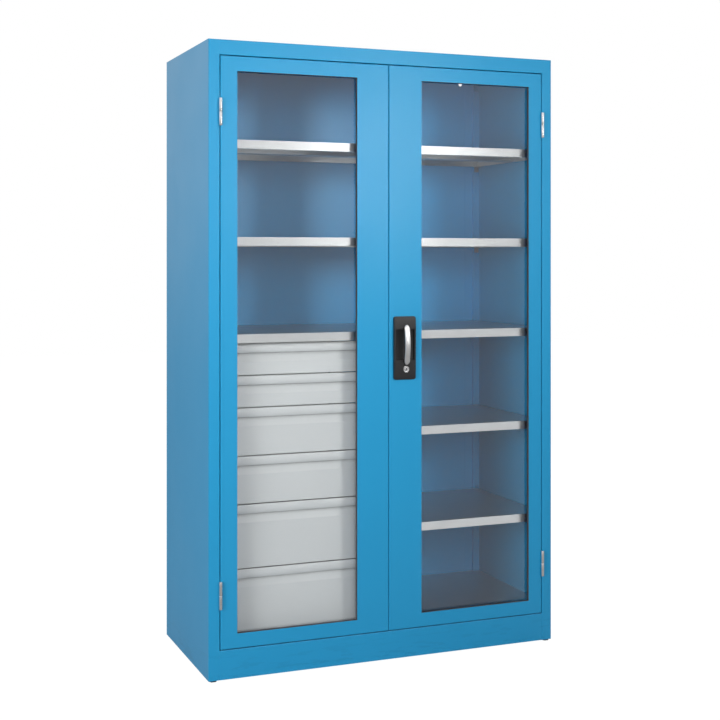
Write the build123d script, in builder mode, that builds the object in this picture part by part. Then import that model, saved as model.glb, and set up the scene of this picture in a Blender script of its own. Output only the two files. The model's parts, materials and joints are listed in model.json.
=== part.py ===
from build123d import *
from math import acos, cos, pi, radians, sin, tan
import os

# A two-door steel storage cabinet: glazed doors, three full shelves,
# a bank of six drawers at the lower left and two half shelves at the lower right.
# Sizes are in millimetres. X runs to the right as the user faces the doors, Y to the back
# and Z up from the floor.

os.makedirs("parts", exist_ok=True)

# Whole cabinet
width = 1200.0
depth = 500.0
height = 1950.0
foot_lift = 4.0

# Steel sheet
sheet = 1.5
drawer_sheet = 1.2
fold_radius = 2.0
weld_seam = 0.1

# Front frame of the carcass
stile_width = 35.5
stile_depth = 28.0
stile_lip = 14.0
stile_return = 6.0
rear_lip = 20.0
top_rail_height = 46.5
plinth_height = 89.0
plinth_seam = 0.8
floor_rise = 24.0
floor_flange = 30.0
floor_setback = 30.0

# Wall-fixing holes at the top of the back panel
wall_hole_spacing = 1048.0
wall_hole_drop = 21.0
wall_hole_radius = 7.0

# Doors
door_gap = 2.5
door_split = 2.0
door_depth = 26.0
door_lip = 14.0
left_hinge_border = 53.3
left_lock_border = 108.8
right_hinge_border = 48.0
right_lock_border = 114.7
top_border = 45.0
bottom_border = 44.5

# Glazing: the window edge turns back, then outwards as a ledge for the pane
window_reveal = 11.0
window_ledge = 26.0
pane_thickness = 4.0
pane_overlap = 12.0
gasket_wall = 1.0
gasket_lip = 9.0
retainer_fit = 0.2
retainer_lap = 10.0

# Hinges: a lower half on the carcass and an upper half on the door
hinge_radius = 5.25
hinge_half_length = 42.0
hinge_half_gap = 0.3
hinge_face_gap = 0.35
hinge_axis_offset = 1.2
hinge_leaf_depth = 25.0
hinge_pin_radius = 3.0
hinge_pin_fit = 0.05
hinge_bottom_offset = 124.0
hinge_top_offset = 129.7

# Slotted posts and shelf clips
slot_pitch = 25.0
slot_width = 3.2
slot_height = 12.0
spare_slots = 1
post_face = 25.5
post_flange = 30.0
rear_post_rise = 9.0
front_post_rise = 4.5
front_post_setback = 41.0
clip_width = 18.0
clip_height = 31.0
clip_thickness = 2.0
clip_ledge = 14.0
clip_drop = 2.5
clip_fit = 0.2

# Shelves
shelf_thickness = 27.0
shelf_lip = 15.0
shelf_setback = 31.0
shelf_end_gap = 3.5
shelf_rear_gap = 2.0
shelf_rib_width = 50.0
shelf_rib_height = 24.0
shelf_step = 12

# Drawers, from the top one down
drawer_heights = (100.0, 100.0, 150.0, 150.0, 200.0, 200.0)
drawer_gap = 3.0
drawer_setback = 62.0
drawer_rear_space = 35.0
drawer_bank_inset = 91.0
divider_width = 19.5
divider_return = 30.0
housing_flange = 20.0
runner_space = 13.0
runner_setback = 74.0
runner_rear_space = 44.5
runner_reach = 10.5
rail_height = 12.0
rail_reach = 9.5
rail_fit = 0.3
rail_rise = 26.0
front_overhang = 6.0
box_rise = 4.0
box_headroom = 32.0

# Rolled grip along the top of each drawer front
grip_height = 28.0
grip_bulge = 3.5
grip_proud = 2.0
grip_curl = 4.0
finger_gap = 6.0
recess_depth = 7.0
slope_height = 23.0

# Handle plate
plate_width = 76.0
plate_height = 202.4
plate_bottom = 895.6
plate_left = 15.0
plate_thickness = 10.0
plate_corner = 7.0
plate_edge = 2.5
recess_width = 66.0
recess_height = 98.6
recess_rise = 62.2
recess_floor = 6.0
recess_wall = 2.0
plate_fit = 0.3

# Lever, on the centre line of the lock
lock_offset = 3.0
lever_axis_rise = 166.9
lever_length = 128.8
lever_width = 19.0
lever_thickness = 8.5
lever_end_rise = 6.6
lever_bow_rise = 8.0
lever_fit = 0.3
spindle_radius = 5.0
spindle_seat = 5.0
spindle_fit = 0.1

# Rack and pinion that throws the two rods
tooth_module = 1.5
tooth_count = 16
pressure_angle = radians(20)
tooth_backlash = 0.3
flank_steps = 2
rack_teeth = 8
rod_width = 10.0
rod_thickness = 5.0
rod_gap = 2.0
rod_tip_setback = 0.5
rod_fit = 0.4
rod_guide_wall = 5.0
rod_guide_height = 12.0
case_wall = 2.0
case_width = 56.0
case_height = 68.0
case_depth = 12.5
standoff_width = 6.0
standoff_length = 3.5
standoff_inset = 5.0
standoff_pitch = 26.0
keeper_width = 30.0
keeper_thickness = 3.0

# Cam that reaches behind the left door
cam_gap = 0.6
cam_thickness = 2.8
cam_reach = 66.0
cam_hub_radius = 8.0
cam_tip_radius = 6.0

# Key cylinder
cylinder_rise = 33.4
barrel_radius = 10.0
barrel_proud = 2.0
barrel_end = 20.0
plug_radius = 6.0
plug_fit = 0.05
plug_proud = 0.6
keyhole_width = 1.6
keyhole_height = 7.0
keyhole_depth = 5.0
tail_gap = 1.5
tail_thickness = 2.5
tail_reach = 20.0
tail_width = 8.0

# Levelling feet
foot_width = 25.0
foot_height = 3.6
foot_inset_x = 17.0
foot_inset_y = 14.0
stud_radius = 4.0
gusset_height = 12.0
gusset_thickness = 3.0
gusset_rear_size = 30.0

# Rubber buffers behind the doors
buffer_width = 12.0
buffer_inset = 40.0
buffer_gap = 0.3

# The origin is below the middle of the overall depth, from the lever to the back panel
lever_reach = plate_thickness + lever_fit + lever_bow_rise + lever_thickness
front_y = (lever_reach - depth) / 2
back_y = front_y + depth

# Planes that more than one piece is set against
rear_y = back_y - sheet
wall_x = width / 2 - sheet
stile_x = width / 2 - stile_width
door_x = stile_x - door_gap
plinth_top = foot_lift + plinth_height
floor_top = plinth_top + floor_rise
floor_y = front_y + floor_setback
rail_bottom = height - top_rail_height
door_bottom = plinth_top + door_gap
door_top = rail_bottom - door_gap
door_back_y = front_y + door_depth
door_height = door_top - door_bottom
shelf_y = front_y + shelf_setback


def facing(y):
    """Upright plane at the depth y, seen from the front, that extrudes towards the front."""
    return Plane.XZ.offset(-y)


def folded_section(points, side, lip=None):
    """Section of an outer sheet from one of its surface lines, thickened to one side.

    A lip is a last fold, out of sight, and sharp.
    """
    with BuildSketch() as section:
        with BuildLine():
            FilletPolyline(*points, radius=fold_radius)
            if lip:
                Line(points[-1], lip)
            offset(amount=sheet, side=side, kind=Kind.INTERSECTION)
        make_face()
    return section.sketch


def inner_section(points, side):
    """Section of an inner sheet, which is folded sharply."""
    with BuildSketch() as section:
        with BuildLine():
            Polyline(*points)
            offset(amount=sheet, side=side, kind=Kind.INTERSECTION)
        make_face()
    return section.sketch


# Side wall, left hand: folded into a lip at the rear, and welded edge to edge to its stile
with BuildPart() as side_wall_left:
    with BuildSketch(Plane.XY.offset(foot_lift)):
        add(folded_section(
            [
                (-width / 2 + rear_lip, rear_y),
                (-width / 2, rear_y),
                (-width / 2, front_y + stile_return),
            ],
            Side.LEFT,
        ))
    extrude(amount=height - sheet - foot_lift)

# Stile, left hand: the box-shaped upright of the front frame
with BuildPart() as stile_left:
    with BuildSketch(Plane.XY.offset(foot_lift)):
        add(folded_section(
            [
                (-width / 2, front_y + stile_return),
                (-width / 2, front_y),
                (-stile_x, front_y),
                (-stile_x, front_y + stile_depth),
            ],
            Side.LEFT,
            lip=(-stile_x - stile_lip, front_y + stile_depth),
        ))
    extrude(amount=height - sheet - foot_lift)

for wall, label in ((side_wall_left, "side_wall"), (stile_left, "stile")):
    with BuildPart() as wall_right:
        mirror(wall.part, about=Plane.YZ)
    wall.part.label = f"{label}_left"
    export_step(wall.part, f"parts/{label}_left.step")
    wall_right.part.label = f"{label}_right"
    export_step(wall_right.part, f"parts/{label}_right.step")

# Back panel with a pair of holes for fixing the cabinet to a wall
with BuildPart() as back_panel:
    with BuildSketch(facing(back_y)):
        with Locations((0, (foot_lift + height) / 2)):
            Rectangle(width - 2 * fold_radius, height - foot_lift)
        with Locations((0, height - wall_hole_drop)):
            with GridLocations(wall_hole_spacing, 0, 2, 1):
                Circle(wall_hole_radius, mode=Mode.SUBTRACT)
    extrude(amount=sheet)
back_panel.part.label = "back_panel"
export_step(back_panel.part, "parts/back_panel.step")

# Handle, lock case and rods, placed from the lower left corner of the handle plate
plate_x = plate_left + plate_width / 2
lock_x = plate_x + lock_offset
lever_axis_z = plate_bottom + lever_axis_rise
cylinder_z = plate_bottom + cylinder_rise
recess_z = plate_bottom + recess_rise + recess_height / 2
case_setback = recess_floor + recess_wall + standoff_length
rod_setback = case_setback + case_wall + rod_gap
pitch_radius = tooth_module * tooth_count / 2
tooth_root = 1.25 * tooth_module
rod_offset = pitch_radius + tooth_root + rod_width / 2
upper_rod_x = lock_x + rod_offset
lower_rod_x = lock_x - rod_offset
rod_y = front_y + rod_setback + rod_thickness / 2
rod_throw = pitch_radius * pi / 2
rod_hole = (rod_width + 2 * rod_fit, rod_thickness + 2 * rod_fit)

# Top panel: folded down at the front into the rail above the doors
with BuildPart() as top_panel:
    with BuildSketch(Plane.YZ.offset(-width / 2)):
        add(folded_section(
            [
                (rear_y, height),
                (front_y, height),
                (front_y, rail_bottom),
                (front_y + stile_depth, rail_bottom),
            ],
            Side.LEFT,
            lip=(front_y + stile_depth, rail_bottom + stile_lip),
        ))
    extrude(amount=width)
    for side in (-1, 1):
        with Locations((side * (stile_x + stile_width / 2), front_y + depth / 2, height - sheet)):
            Box(stile_width, depth, top_rail_height,
                align=(Align.CENTER, Align.CENTER, Align.MAX), mode=Mode.SUBTRACT)
    with BuildSketch(Plane.XY.offset(rail_bottom)):
        with Locations((upper_rod_x, rod_y)):
            Rectangle(*rod_hole)
    extrude(amount=sheet, mode=Mode.SUBTRACT)
top_panel.part.label = "top_panel"
export_step(top_panel.part, "parts/top_panel.step")

# Base floor: a tray turned down at the front and rear
with BuildPart() as base_floor:
    with BuildSketch(Plane.YZ.offset(-wall_x)):
        add(inner_section(
            [
                (floor_y + stile_lip, floor_top - floor_flange),
                (floor_y, floor_top - floor_flange),
                (floor_y, floor_top),
                (rear_y - fold_radius, floor_top),
                (rear_y - fold_radius, floor_top - floor_flange),
            ],
            Side.RIGHT,
        ))
    extrude(amount=2 * wall_x)
base_floor.part.label = "base_floor"
export_step(base_floor.part, "parts/base_floor.step")

# Plinth panel between the stiles, below the doors
with BuildPart() as plinth_panel:
    with BuildSketch(Plane.YZ.offset(-stile_x + plinth_seam)):
        add(folded_section(
            [
                (floor_y, plinth_top),
                (front_y, plinth_top),
                (front_y, foot_lift),
            ],
            Side.LEFT,
            lip=(front_y + stile_lip, foot_lift),
        ))
    extrude(amount=2 * (stile_x - plinth_seam))
    with BuildSketch(Plane.XY.offset(plinth_top)):
        with Locations((lower_rod_x, rod_y)):
            Rectangle(*rod_hole)
    extrude(amount=-sheet, mode=Mode.SUBTRACT)
plinth_panel.part.label = "plinth_panel"
export_step(plinth_panel.part, "parts/plinth_panel.step")

# Heights inside: the drawer bank stands on the floor, and the lower shelf is just above it
bank_bottom = floor_top + drawer_gap
bank_top = bank_bottom + sum(drawer_heights)
lower_shelf_under = bank_top + drawer_gap
lower_shelf_top = lower_shelf_under + shelf_thickness

# A clip turned over lifts its shelf by half a slot pitch. Slots are counted from the lower
# shelf's, and each shelf has spare ones above and below.
clip_step = slot_pitch / 2
full_shelf_slots = {"shelf_lower": 0, "shelf_middle": shelf_step, "shelf_upper": 2 * shelf_step}
half_shelf_slots = {"half_shelf_upper": -shelf_step - 1, "half_shelf_lower": -2 * shelf_step - 1}
turned_clips = ("half_shelf_upper",)
slot_zero = lower_shelf_under - clip_thickness / 2 + clip_step / 2 + slot_height / 4


def slot_levels(shelf_slots):
    """Heights of the slots round each shelf."""
    return [slot_zero + slot_pitch * (slot + n) for slot in shelf_slots.values()
            for n in range(-spare_slots, spare_slots + 1)]


def shelf_tops(shelf_slots):
    """Height of each shelf's top."""
    return {label: lower_shelf_top + slot_pitch * slot + clip_step * (label in turned_clips)
            for label, slot in shelf_slots.items()}


full_shelf_tops = shelf_tops(full_shelf_slots)
half_shelf_tops = shelf_tops(half_shelf_slots)
front_column_y = front_y + front_post_setback + post_face / 2
front_face_x = wall_x - sheet - front_post_rise
rear_column_x = wall_x - post_face / 2
rear_face_y = rear_y - sheet - rear_post_rise


def make_front_post(levels):
    """Right-hand post that stands out from the side wall, with its slotted face inwards."""
    with BuildPart() as post:
        with BuildSketch(Plane.XY.offset(floor_top)):
            add(inner_section(
                [
                    (wall_x - sheet, front_y + front_post_setback + post_face + post_flange),
                    (wall_x - sheet, front_y + front_post_setback + post_face),
                    (front_face_x, front_y + front_post_setback + post_face),
                    (front_face_x, front_y + front_post_setback),
                ],
                Side.LEFT,
            ))
        extrude(amount=rail_bottom - floor_top)
        with BuildSketch(Plane.YZ.offset(front_face_x)):
            with Locations(*[(front_column_y, z) for z in levels]):
                Rectangle(slot_width, slot_height)
        extrude(amount=sheet, mode=Mode.SUBTRACT)
    return post.part


def make_rear_post(levels):
    """Right-hand post that stands out from the back panel, with its slotted face forwards."""
    with BuildPart() as post:
        with BuildSketch(Plane.XY.offset(floor_top)):
            add(inner_section(
                [
                    (wall_x - post_face - post_flange, rear_y - sheet),
                    (wall_x - post_face, rear_y - sheet),
                    (wall_x - post_face, rear_face_y),
                    (wall_x, rear_face_y),
                ],
                Side.LEFT,
            ))
        extrude(amount=rail_bottom - floor_top)
        with BuildSketch(facing(rear_face_y + sheet)):
            with Locations(*[(rear_column_x, z) for z in levels]):
                Rectangle(slot_width, slot_height)
        extrude(amount=sheet, mode=Mode.SUBTRACT)
    return post.part


# The left-hand posts are mirrored, and slotted only above the drawers
full_levels = slot_levels(full_shelf_slots)
half_levels = slot_levels(half_shelf_slots)
for make_post, label in ((make_front_post, "front_post"), (make_rear_post, "rear_post")):
    with BuildPart() as post_right:
        add(make_post(full_levels + half_levels))
    with BuildPart() as post_left:
        mirror(make_post(full_levels), about=Plane.YZ)
    post_right.part.label = f"{label}_right"
    export_step(post_right.part, f"parts/{label}_right.step")
    post_left.part.label = f"{label}_left"
    export_step(post_left.part, f"parts/{label}_left.step")

# Drawer housing: a wall at the left, and a divider that also carries the half shelves
bank_left = -width / 2 + drawer_bank_inset
bank_right = -sheet / 2
divider_x = bank_right + divider_width
shelf_back_y = rear_face_y - clip_thickness - shelf_rear_gap
housing_top = lower_shelf_under - plinth_seam
divider_columns = (shelf_y + divider_return / 2, shelf_back_y - divider_return / 2)

with BuildPart() as drawer_housing_wall:
    with BuildSketch(Plane.XY.offset(floor_top)):
        add(inner_section(
            [
                (bank_left - housing_flange, shelf_y),
                (bank_left, shelf_y),
                (bank_left, shelf_back_y),
                (bank_left - housing_flange, shelf_back_y),
            ],
            Side.LEFT,
        ))
    extrude(amount=housing_top - floor_top)
drawer_housing_wall.part.label = "drawer_housing_wall"
export_step(drawer_housing_wall.part, "parts/drawer_housing_wall.step")

with BuildPart() as centre_divider:
    with BuildSketch(Plane.XY.offset(floor_top)):
        add(inner_section(
            [
                (divider_x, shelf_y + divider_return),
                (divider_x, shelf_y),
                (bank_right, shelf_y),
                (bank_right, shelf_back_y),
                (divider_x, shelf_back_y),
                (divider_x, shelf_back_y - divider_return),
            ],
            Side.RIGHT,
        ))
    extrude(amount=housing_top - floor_top)
    with BuildSketch(Plane.YZ.offset(divider_x)):
        with Locations(*[(y, z) for y in divider_columns for z in half_levels]):
            Rectangle(slot_width, slot_height)
    extrude(amount=-sheet, mode=Mode.SUBTRACT)
centre_divider.part.label = "centre_divider"
export_step(centre_divider.part, "parts/centre_divider.step")


def make_shelf(left, right, top):
    """Shelf folded down and under on its long sides, closed at its ends, with a rib below."""
    middle_y = (shelf_y + shelf_back_y) / 2
    under = top - shelf_thickness
    with BuildPart() as shelf:
        with BuildSketch(Plane.YZ.offset(left)):
            add(inner_section(
                [
                    (shelf_y + shelf_lip, under),
                    (shelf_y, under),
                    (shelf_y, top),
                    (shelf_back_y, top),
                    (shelf_back_y, under),
                    (shelf_back_y - shelf_lip, under),
                ],
                Side.RIGHT,
            ))
            with BuildLine():
                Polyline(
                    (middle_y - shelf_rib_width / 2, top - sheet / 2),
                    (middle_y - shelf_rib_width / 2, top - shelf_rib_height),
                    (middle_y + shelf_rib_width / 2, top - shelf_rib_height),
                    (middle_y + shelf_rib_width / 2, top - sheet / 2),
                )
                offset(amount=sheet, side=Side.LEFT, kind=Kind.INTERSECTION)
            make_face()
        extrude(amount=right - left)
        for end in (left, right - sheet):
            with BuildSketch(Plane.YZ.offset(end)):
                with Locations((middle_y, (top + under) / 2)):
                    Rectangle(shelf_back_y - shelf_y, shelf_thickness)
            extrude(amount=sheet)
    return shelf.part


shelf_x = front_face_x - clip_thickness - shelf_end_gap
for label, top in full_shelf_tops.items():
    with BuildPart() as full_shelf:
        add(make_shelf(-shelf_x, shelf_x, top))
    full_shelf.part.label = label
    export_step(full_shelf.part, f"parts/{label}.step")

half_shelf_left = divider_x + clip_thickness + shelf_end_gap
for label, top in half_shelf_tops.items():
    with BuildPart() as half_shelf:
        add(make_shelf(half_shelf_left, shelf_x, top))
    half_shelf.part.label = label
    export_step(half_shelf.part, f"parts/{label}.step")


def clip_seats():
    """Seat of each shelf clip, the foot of its shelf on a slotted face, and which way up it is."""
    for top in full_shelf_tops.values():
        under = top - shelf_thickness
        for side in (-1, 1):
            yield Plane((side * front_face_x, front_column_y, under), x_dir=(0, -side, 0),
                        z_dir=(-side, 0, 0)), 1
            yield Plane((side * rear_column_x, rear_face_y, under), x_dir=(1, 0, 0),
                        z_dir=(0, -1, 0)), 1
    for label, top in half_shelf_tops.items():
        under = top - shelf_thickness
        turn = -1 if label in turned_clips else 1
        yield Plane((front_face_x, front_column_y, under), x_dir=(0, -1, 0),
                    z_dir=(-1, 0, 0)), turn
        yield Plane((rear_column_x, rear_face_y, under), x_dir=(1, 0, 0),
                    z_dir=(0, -1, 0)), turn
        for y in divider_columns:
            yield Plane((divider_x, y, under), x_dir=(0, 1, 0), z_dir=(1, 0, 0)), turn


# Shelf clips: a plate with a ledge, hung in a slot by a hook that grips either way up
hook_width = slot_width - 2 * clip_fit
with BuildPart() as shelf_clips:
    for seat, turn in clip_seats():
        ledge_z = -clip_thickness / 2
        hook_z = ledge_z + turn * clip_step / 2
        with BuildSketch(seat):
            with Locations((0, ledge_z - turn * clip_drop)):
                Rectangle(clip_width, clip_height)
        extrude(amount=clip_thickness)
        with BuildSketch(seat):
            with Locations((0, ledge_z)):
                Rectangle(clip_width, clip_thickness)
        extrude(amount=clip_thickness + clip_ledge)
        with BuildSketch(seat):
            with Locations((0, hook_z)):
                Rectangle(hook_width, slot_height / 2)
        extrude(amount=-sheet - clip_fit)
        with BuildSketch(seat.offset(-sheet - clip_fit)):
            with Locations((0, hook_z)):
                Rectangle(hook_width, slot_height - 2 * clip_fit)
        extrude(amount=-clip_thickness)
shelf_clips.part.label = "shelf_clips"
export_step(shelf_clips.part, "parts/shelf_clips.step")

# Levelling feet: a hexagonal pad, turned with a spanner, and a stud under each corner plate
foot_x = width / 2 - foot_inset_x
front_foot_y = front_y + foot_inset_y
rear_foot_y = rear_y - foot_inset_y - sheet
foot_places = [(x, y) for x in (-foot_x, foot_x) for y in (front_foot_y, rear_foot_y)]

with BuildPart() as levelling_feet:
    with BuildSketch():
        with Locations(*foot_places):
            RegularPolygon(foot_width / 2, 6, major_radius=False)
    extrude(amount=foot_height)
    with BuildSketch(Plane.XY.offset(foot_height)):
        with Locations(*foot_places):
            Circle(stud_radius)
    extrude(amount=gusset_height - foot_height)
levelling_feet.part.label = "levelling_feet"
export_step(levelling_feet.part, "parts/levelling_feet.step")

stile_inner_x = stile_x + sheet
gusset_depth = stile_depth - 2 * fold_radius
with BuildPart() as foot_gussets:
    with BuildSketch(Plane.XY.offset(gusset_height)):
        for side in (-1, 1):
            with Locations((side * (stile_inner_x + wall_x) / 2, front_y + stile_depth / 2)):
                Rectangle(wall_x - stile_inner_x, gusset_depth)
            with Locations((side * (wall_x - gusset_rear_size / 2),
                            rear_y - fold_radius - gusset_rear_size / 2)):
                Rectangle(gusset_rear_size, gusset_rear_size)
    extrude(amount=gusset_thickness)
foot_gussets.part.label = "foot_gussets"
export_step(foot_gussets.part, "parts/foot_gussets.step")

# Hinges: knuckles stand in front of the face, and their leaves pass back through the gap
hinge_x = stile_x - hinge_axis_offset
hinge_y = front_y - hinge_radius - hinge_face_gap
hinge_bore = hinge_pin_radius + hinge_pin_fit
hinge_levels = (door_bottom + hinge_bottom_offset,
                door_top - hinge_top_offset - 2 * hinge_half_length - hinge_half_gap)


def hinge_half(side, bottom, outer_face):
    """Bored knuckle with a leaf whose outer face lies at the given X, for one side."""
    leaf_low = hinge_y + (hinge_radius + hinge_bore) / 2
    leaf_high = front_y + hinge_leaf_depth
    with BuildPart() as half:
        with BuildSketch(Plane.XY.offset(bottom)):
            with Locations((side * hinge_x, hinge_y)):
                Circle(hinge_radius)
            with Locations((side * (outer_face - sheet / 2), (leaf_low + leaf_high) / 2)):
                Rectangle(sheet, leaf_high - leaf_low)
            with Locations((side * hinge_x, hinge_y)):
                Circle(hinge_bore, mode=Mode.SUBTRACT)
        extrude(amount=hinge_half_length)
    return half.part


# The pin is pressed into the lower half and stands up through the upper one
with BuildPart() as frame_hinge_halves:
    for side in (-1, 1):
        for level in hinge_levels:
            add(hinge_half(side, level, stile_x))
            with BuildSketch(Plane.XY.offset(level)):
                with Locations((side * hinge_x, hinge_y)):
                    Circle(hinge_bore)
            extrude(amount=hinge_half_length)
            with BuildSketch(Plane.XY.offset(level + hinge_half_length)):
                with Locations((side * hinge_x, hinge_y)):
                    Circle(hinge_pin_radius)
            extrude(amount=hinge_half_length)
frame_hinge_halves.part.label = "frame_hinge_halves"
export_step(frame_hinge_halves.part, "parts/frame_hinge_halves.step")

# Drawer bank: front edge, back edge and height of each drawer, from the top one down
drawer_levels = []
level = bank_top
for drawer_height in drawer_heights:
    drawer_levels.append((level - drawer_height + drawer_gap / 2, level - drawer_gap / 2))
    level -= drawer_height
box_left = bank_left + runner_space
box_right = bank_right - runner_space
box_front_y = front_y + drawer_setback + recess_depth + drawer_sheet
box_back_y = rear_y - drawer_rear_space
runner_start = front_y + runner_setback
runner_end = rear_y - runner_rear_space

# Runners: a channel on each side of each drawer, open towards the drawer
channel_half = rail_height / 2 + rail_fit
with BuildPart() as drawer_runners:
    for bottom, top in drawer_levels:
        rail_z = bottom + rail_rise
        for base, reach in ((bank_left, 1), (bank_right, -1)):
            web = base + reach * drawer_sheet
            tip = base + reach * runner_reach
            with BuildSketch(facing(runner_end)):
                with BuildLine():
                    Polyline(
                        (tip, rail_z + channel_half),
                        (web, rail_z + channel_half),
                        (web, rail_z - channel_half),
                        (tip, rail_z - channel_half),
                    )
                    offset(amount=drawer_sheet, kind=Kind.INTERSECTION,
                           side=Side.RIGHT if reach > 0 else Side.LEFT)
                make_face()
            extrude(amount=runner_end - runner_start)
drawer_runners.part.label = "drawer_runners"
export_step(drawer_runners.part, "parts/drawer_runners.step")


def make_drawer_box(bottom, top):
    """Tray welded from a floor, two sides and two ends, with a rail along each side."""
    tray_bottom = bottom + box_rise
    wall_bottom = tray_bottom + drawer_sheet + weld_seam
    wall_height = tray_bottom + top - bottom - box_headroom - wall_bottom
    middle_x = (box_left + box_right) / 2
    middle_y = (box_front_y + box_back_y) / 2
    rail_middle_y = (box_front_y + runner_end) / 2
    tray_width = box_right - box_left
    tray_length = box_back_y - box_front_y
    end_width = tray_width - 2 * (drawer_sheet + weld_seam)
    side_inset = drawer_sheet / 2
    rail_offset = (rail_reach + weld_seam) / 2
    on_base = (Align.CENTER, Align.CENTER, Align.MIN)
    with BuildPart() as tray:
        with Locations((middle_x, middle_y, tray_bottom)):
            Box(tray_width, tray_length, drawer_sheet, align=on_base)
        with Locations((box_left + side_inset, middle_y, wall_bottom),
                       (box_right - side_inset, middle_y, wall_bottom)):
            Box(drawer_sheet, tray_length, wall_height, align=on_base)
        with Locations((middle_x, box_front_y + side_inset, wall_bottom),
                       (middle_x, box_back_y - side_inset, wall_bottom)):
            Box(end_width, drawer_sheet, wall_height, align=on_base)
        with Locations((box_left - rail_offset, rail_middle_y, bottom + rail_rise),
                       (box_right + rail_offset, rail_middle_y, bottom + rail_rise)):
            Box(rail_reach - weld_seam, runner_end - box_front_y, rail_height)
    return tray.part


def make_drawer_front(bottom, top):
    """Front rolled forwards at its top into a grip, with a sloping finger recess below it."""
    face = front_y + drawer_setback
    web = face + recess_depth
    lip = face - grip_proud
    lip_back = lip + drawer_sheet
    slope_top = top - grip_height - finger_gap
    roof = top - drawer_sheet
    curl_z = top - grip_height + drawer_sheet
    left = box_left - front_overhang
    right = box_right + front_overhang
    with BuildPart() as front:
        with BuildSketch(Plane.YZ.offset(left)):
            with BuildLine():
                Polyline(
                    (web + drawer_sheet, bottom),
                    (face, bottom),
                    (face, slope_top - slope_height),
                    (web, slope_top),
                    (web, roof),
                    (lip_back, roof),
                )
                ThreePointArc(
                    (lip_back, roof),
                    (lip_back - grip_bulge, (roof + curl_z) / 2),
                    (lip_back, curl_z),
                )
                Line((lip_back, curl_z), (lip_back + grip_curl, curl_z))
                offset(amount=drawer_sheet, side=Side.RIGHT, kind=Kind.INTERSECTION)
            make_face()
        extrude(amount=right - left)
        for end in (left, right - drawer_sheet):
            with BuildSketch(Plane.YZ.offset(end)):
                with BuildLine():
                    Polyline(
                        (lip, top),
                        (web + drawer_sheet, top),
                        (web + drawer_sheet, bottom),
                        (face, bottom),
                        (face, slope_top),
                        (lip, top - grip_height),
                        close=True,
                    )
                make_face()
            extrude(amount=drawer_sheet)
    return front.part


for number, (bottom, top) in enumerate(drawer_levels, start=1):
    with BuildPart() as drawer_box:
        add(make_drawer_box(bottom, top))
    drawer_box.part.label = f"drawer_box_{number}"
    export_step(drawer_box.part, f"parts/drawer_box_{number}.step")
    with BuildPart() as drawer_front:
        add(make_drawer_front(bottom, top))
    drawer_front.part.label = f"drawer_front_{number}"
    export_step(drawer_front.part, f"parts/drawer_front_{number}.step")

# Windows: centre, width and height
window_bottom = door_bottom + bottom_border
window_top = door_top - top_border
window_z = (window_bottom + window_top) / 2
window_height = window_top - window_bottom
door_free_x = door_split / 2


def window_of(left, right):
    """Middle and width of the window between two upright edges."""
    return (left + right) / 2, right - left


left_window = window_of(-door_x + left_hinge_border, -door_free_x - left_lock_border)
right_window = window_of(door_free_x + right_lock_border, door_x - right_hinge_border)


def window_frame(window, outer, inner):
    """Flat frame round a window, from inner to outer millimetres outside its edge."""
    middle, opening = window
    with BuildSketch() as frame:
        with Locations((middle, window_z)):
            Rectangle(opening + 2 * outer, window_height + 2 * outer)
            Rectangle(opening + 2 * inner, window_height + 2 * inner, mode=Mode.SUBTRACT)
    return frame.sketch


def make_door_shell(left, right, window):
    """Folded tray with a back lip, and a window edge folded back and out into a ledge."""
    middle = (left + right) / 2
    door_z = (door_bottom + door_top) / 2
    with BuildPart() as shell:
        with BuildSketch(facing(door_back_y)):
            with Locations((middle, door_z)):
                Rectangle(right - left, door_height)
        extrude(amount=door_depth)
        fillet(shell.faces().sort_by(Axis.Y)[0].edges(), fold_radius)
        offset(amount=-sheet, openings=shell.faces().sort_by(Axis.Y)[-1])
        with BuildSketch(facing(door_back_y)):
            with Locations((middle, door_z)):
                Rectangle(right - left, door_height)
                Rectangle(right - left - 2 * door_lip, door_height - 2 * door_lip,
                          mode=Mode.SUBTRACT)
        extrude(amount=sheet)
        with BuildSketch(facing(front_y + sheet)):
            with Locations((window[0], window_z)):
                Rectangle(window[1], window_height)
        extrude(amount=sheet, mode=Mode.SUBTRACT)
        with BuildSketch(facing(front_y + window_reveal)):
            add(window_frame(window, sheet, 0))
        extrude(amount=window_reveal - sheet)
        with BuildSketch(facing(front_y + window_reveal)):
            add(window_frame(window, window_ledge, 0))
        extrude(amount=sheet)
    return shell.part


gasket_back = window_reveal + pane_thickness + 2 * gasket_wall
gasket_outer = pane_overlap + gasket_wall
riser_inner = gasket_outer + retainer_fit


def make_pane(window):
    """Clear pane that overlaps the window all round."""
    with BuildPart() as pane:
        with BuildSketch(facing(front_y + window_reveal + gasket_wall + pane_thickness)):
            with Locations((window[0], window_z)):
                Rectangle(window[1] + 2 * pane_overlap, window_height + 2 * pane_overlap)
        extrude(amount=pane_thickness)
    return pane.part


def make_gasket(window):
    """Rubber channel round the edge of the pane."""
    with BuildPart() as gasket:
        with BuildSketch(facing(front_y + gasket_back)):
            add(window_frame(window, gasket_outer, pane_overlap - gasket_lip))
        extrude(amount=gasket_back - window_reveal)
        add(make_pane(window), mode=Mode.SUBTRACT)
    return gasket.part


def make_retainer(window):
    """Frame screwed to the ledge that holds the gasket in place from behind."""
    retainer_back = gasket_back + sheet
    with BuildPart() as retainer:
        with BuildSketch(facing(front_y + window_reveal + sheet)):
            add(window_frame(window, window_ledge, riser_inner))
        extrude(amount=sheet)
        with BuildSketch(facing(front_y + retainer_back)):
            add(window_frame(window, riser_inner + sheet, riser_inner))
        extrude(amount=retainer_back - window_reveal)
        with BuildSketch(facing(front_y + retainer_back)):
            add(window_frame(window, riser_inner + sheet, gasket_outer - retainer_lap))
        extrude(amount=sheet)
    return retainer.part


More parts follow.
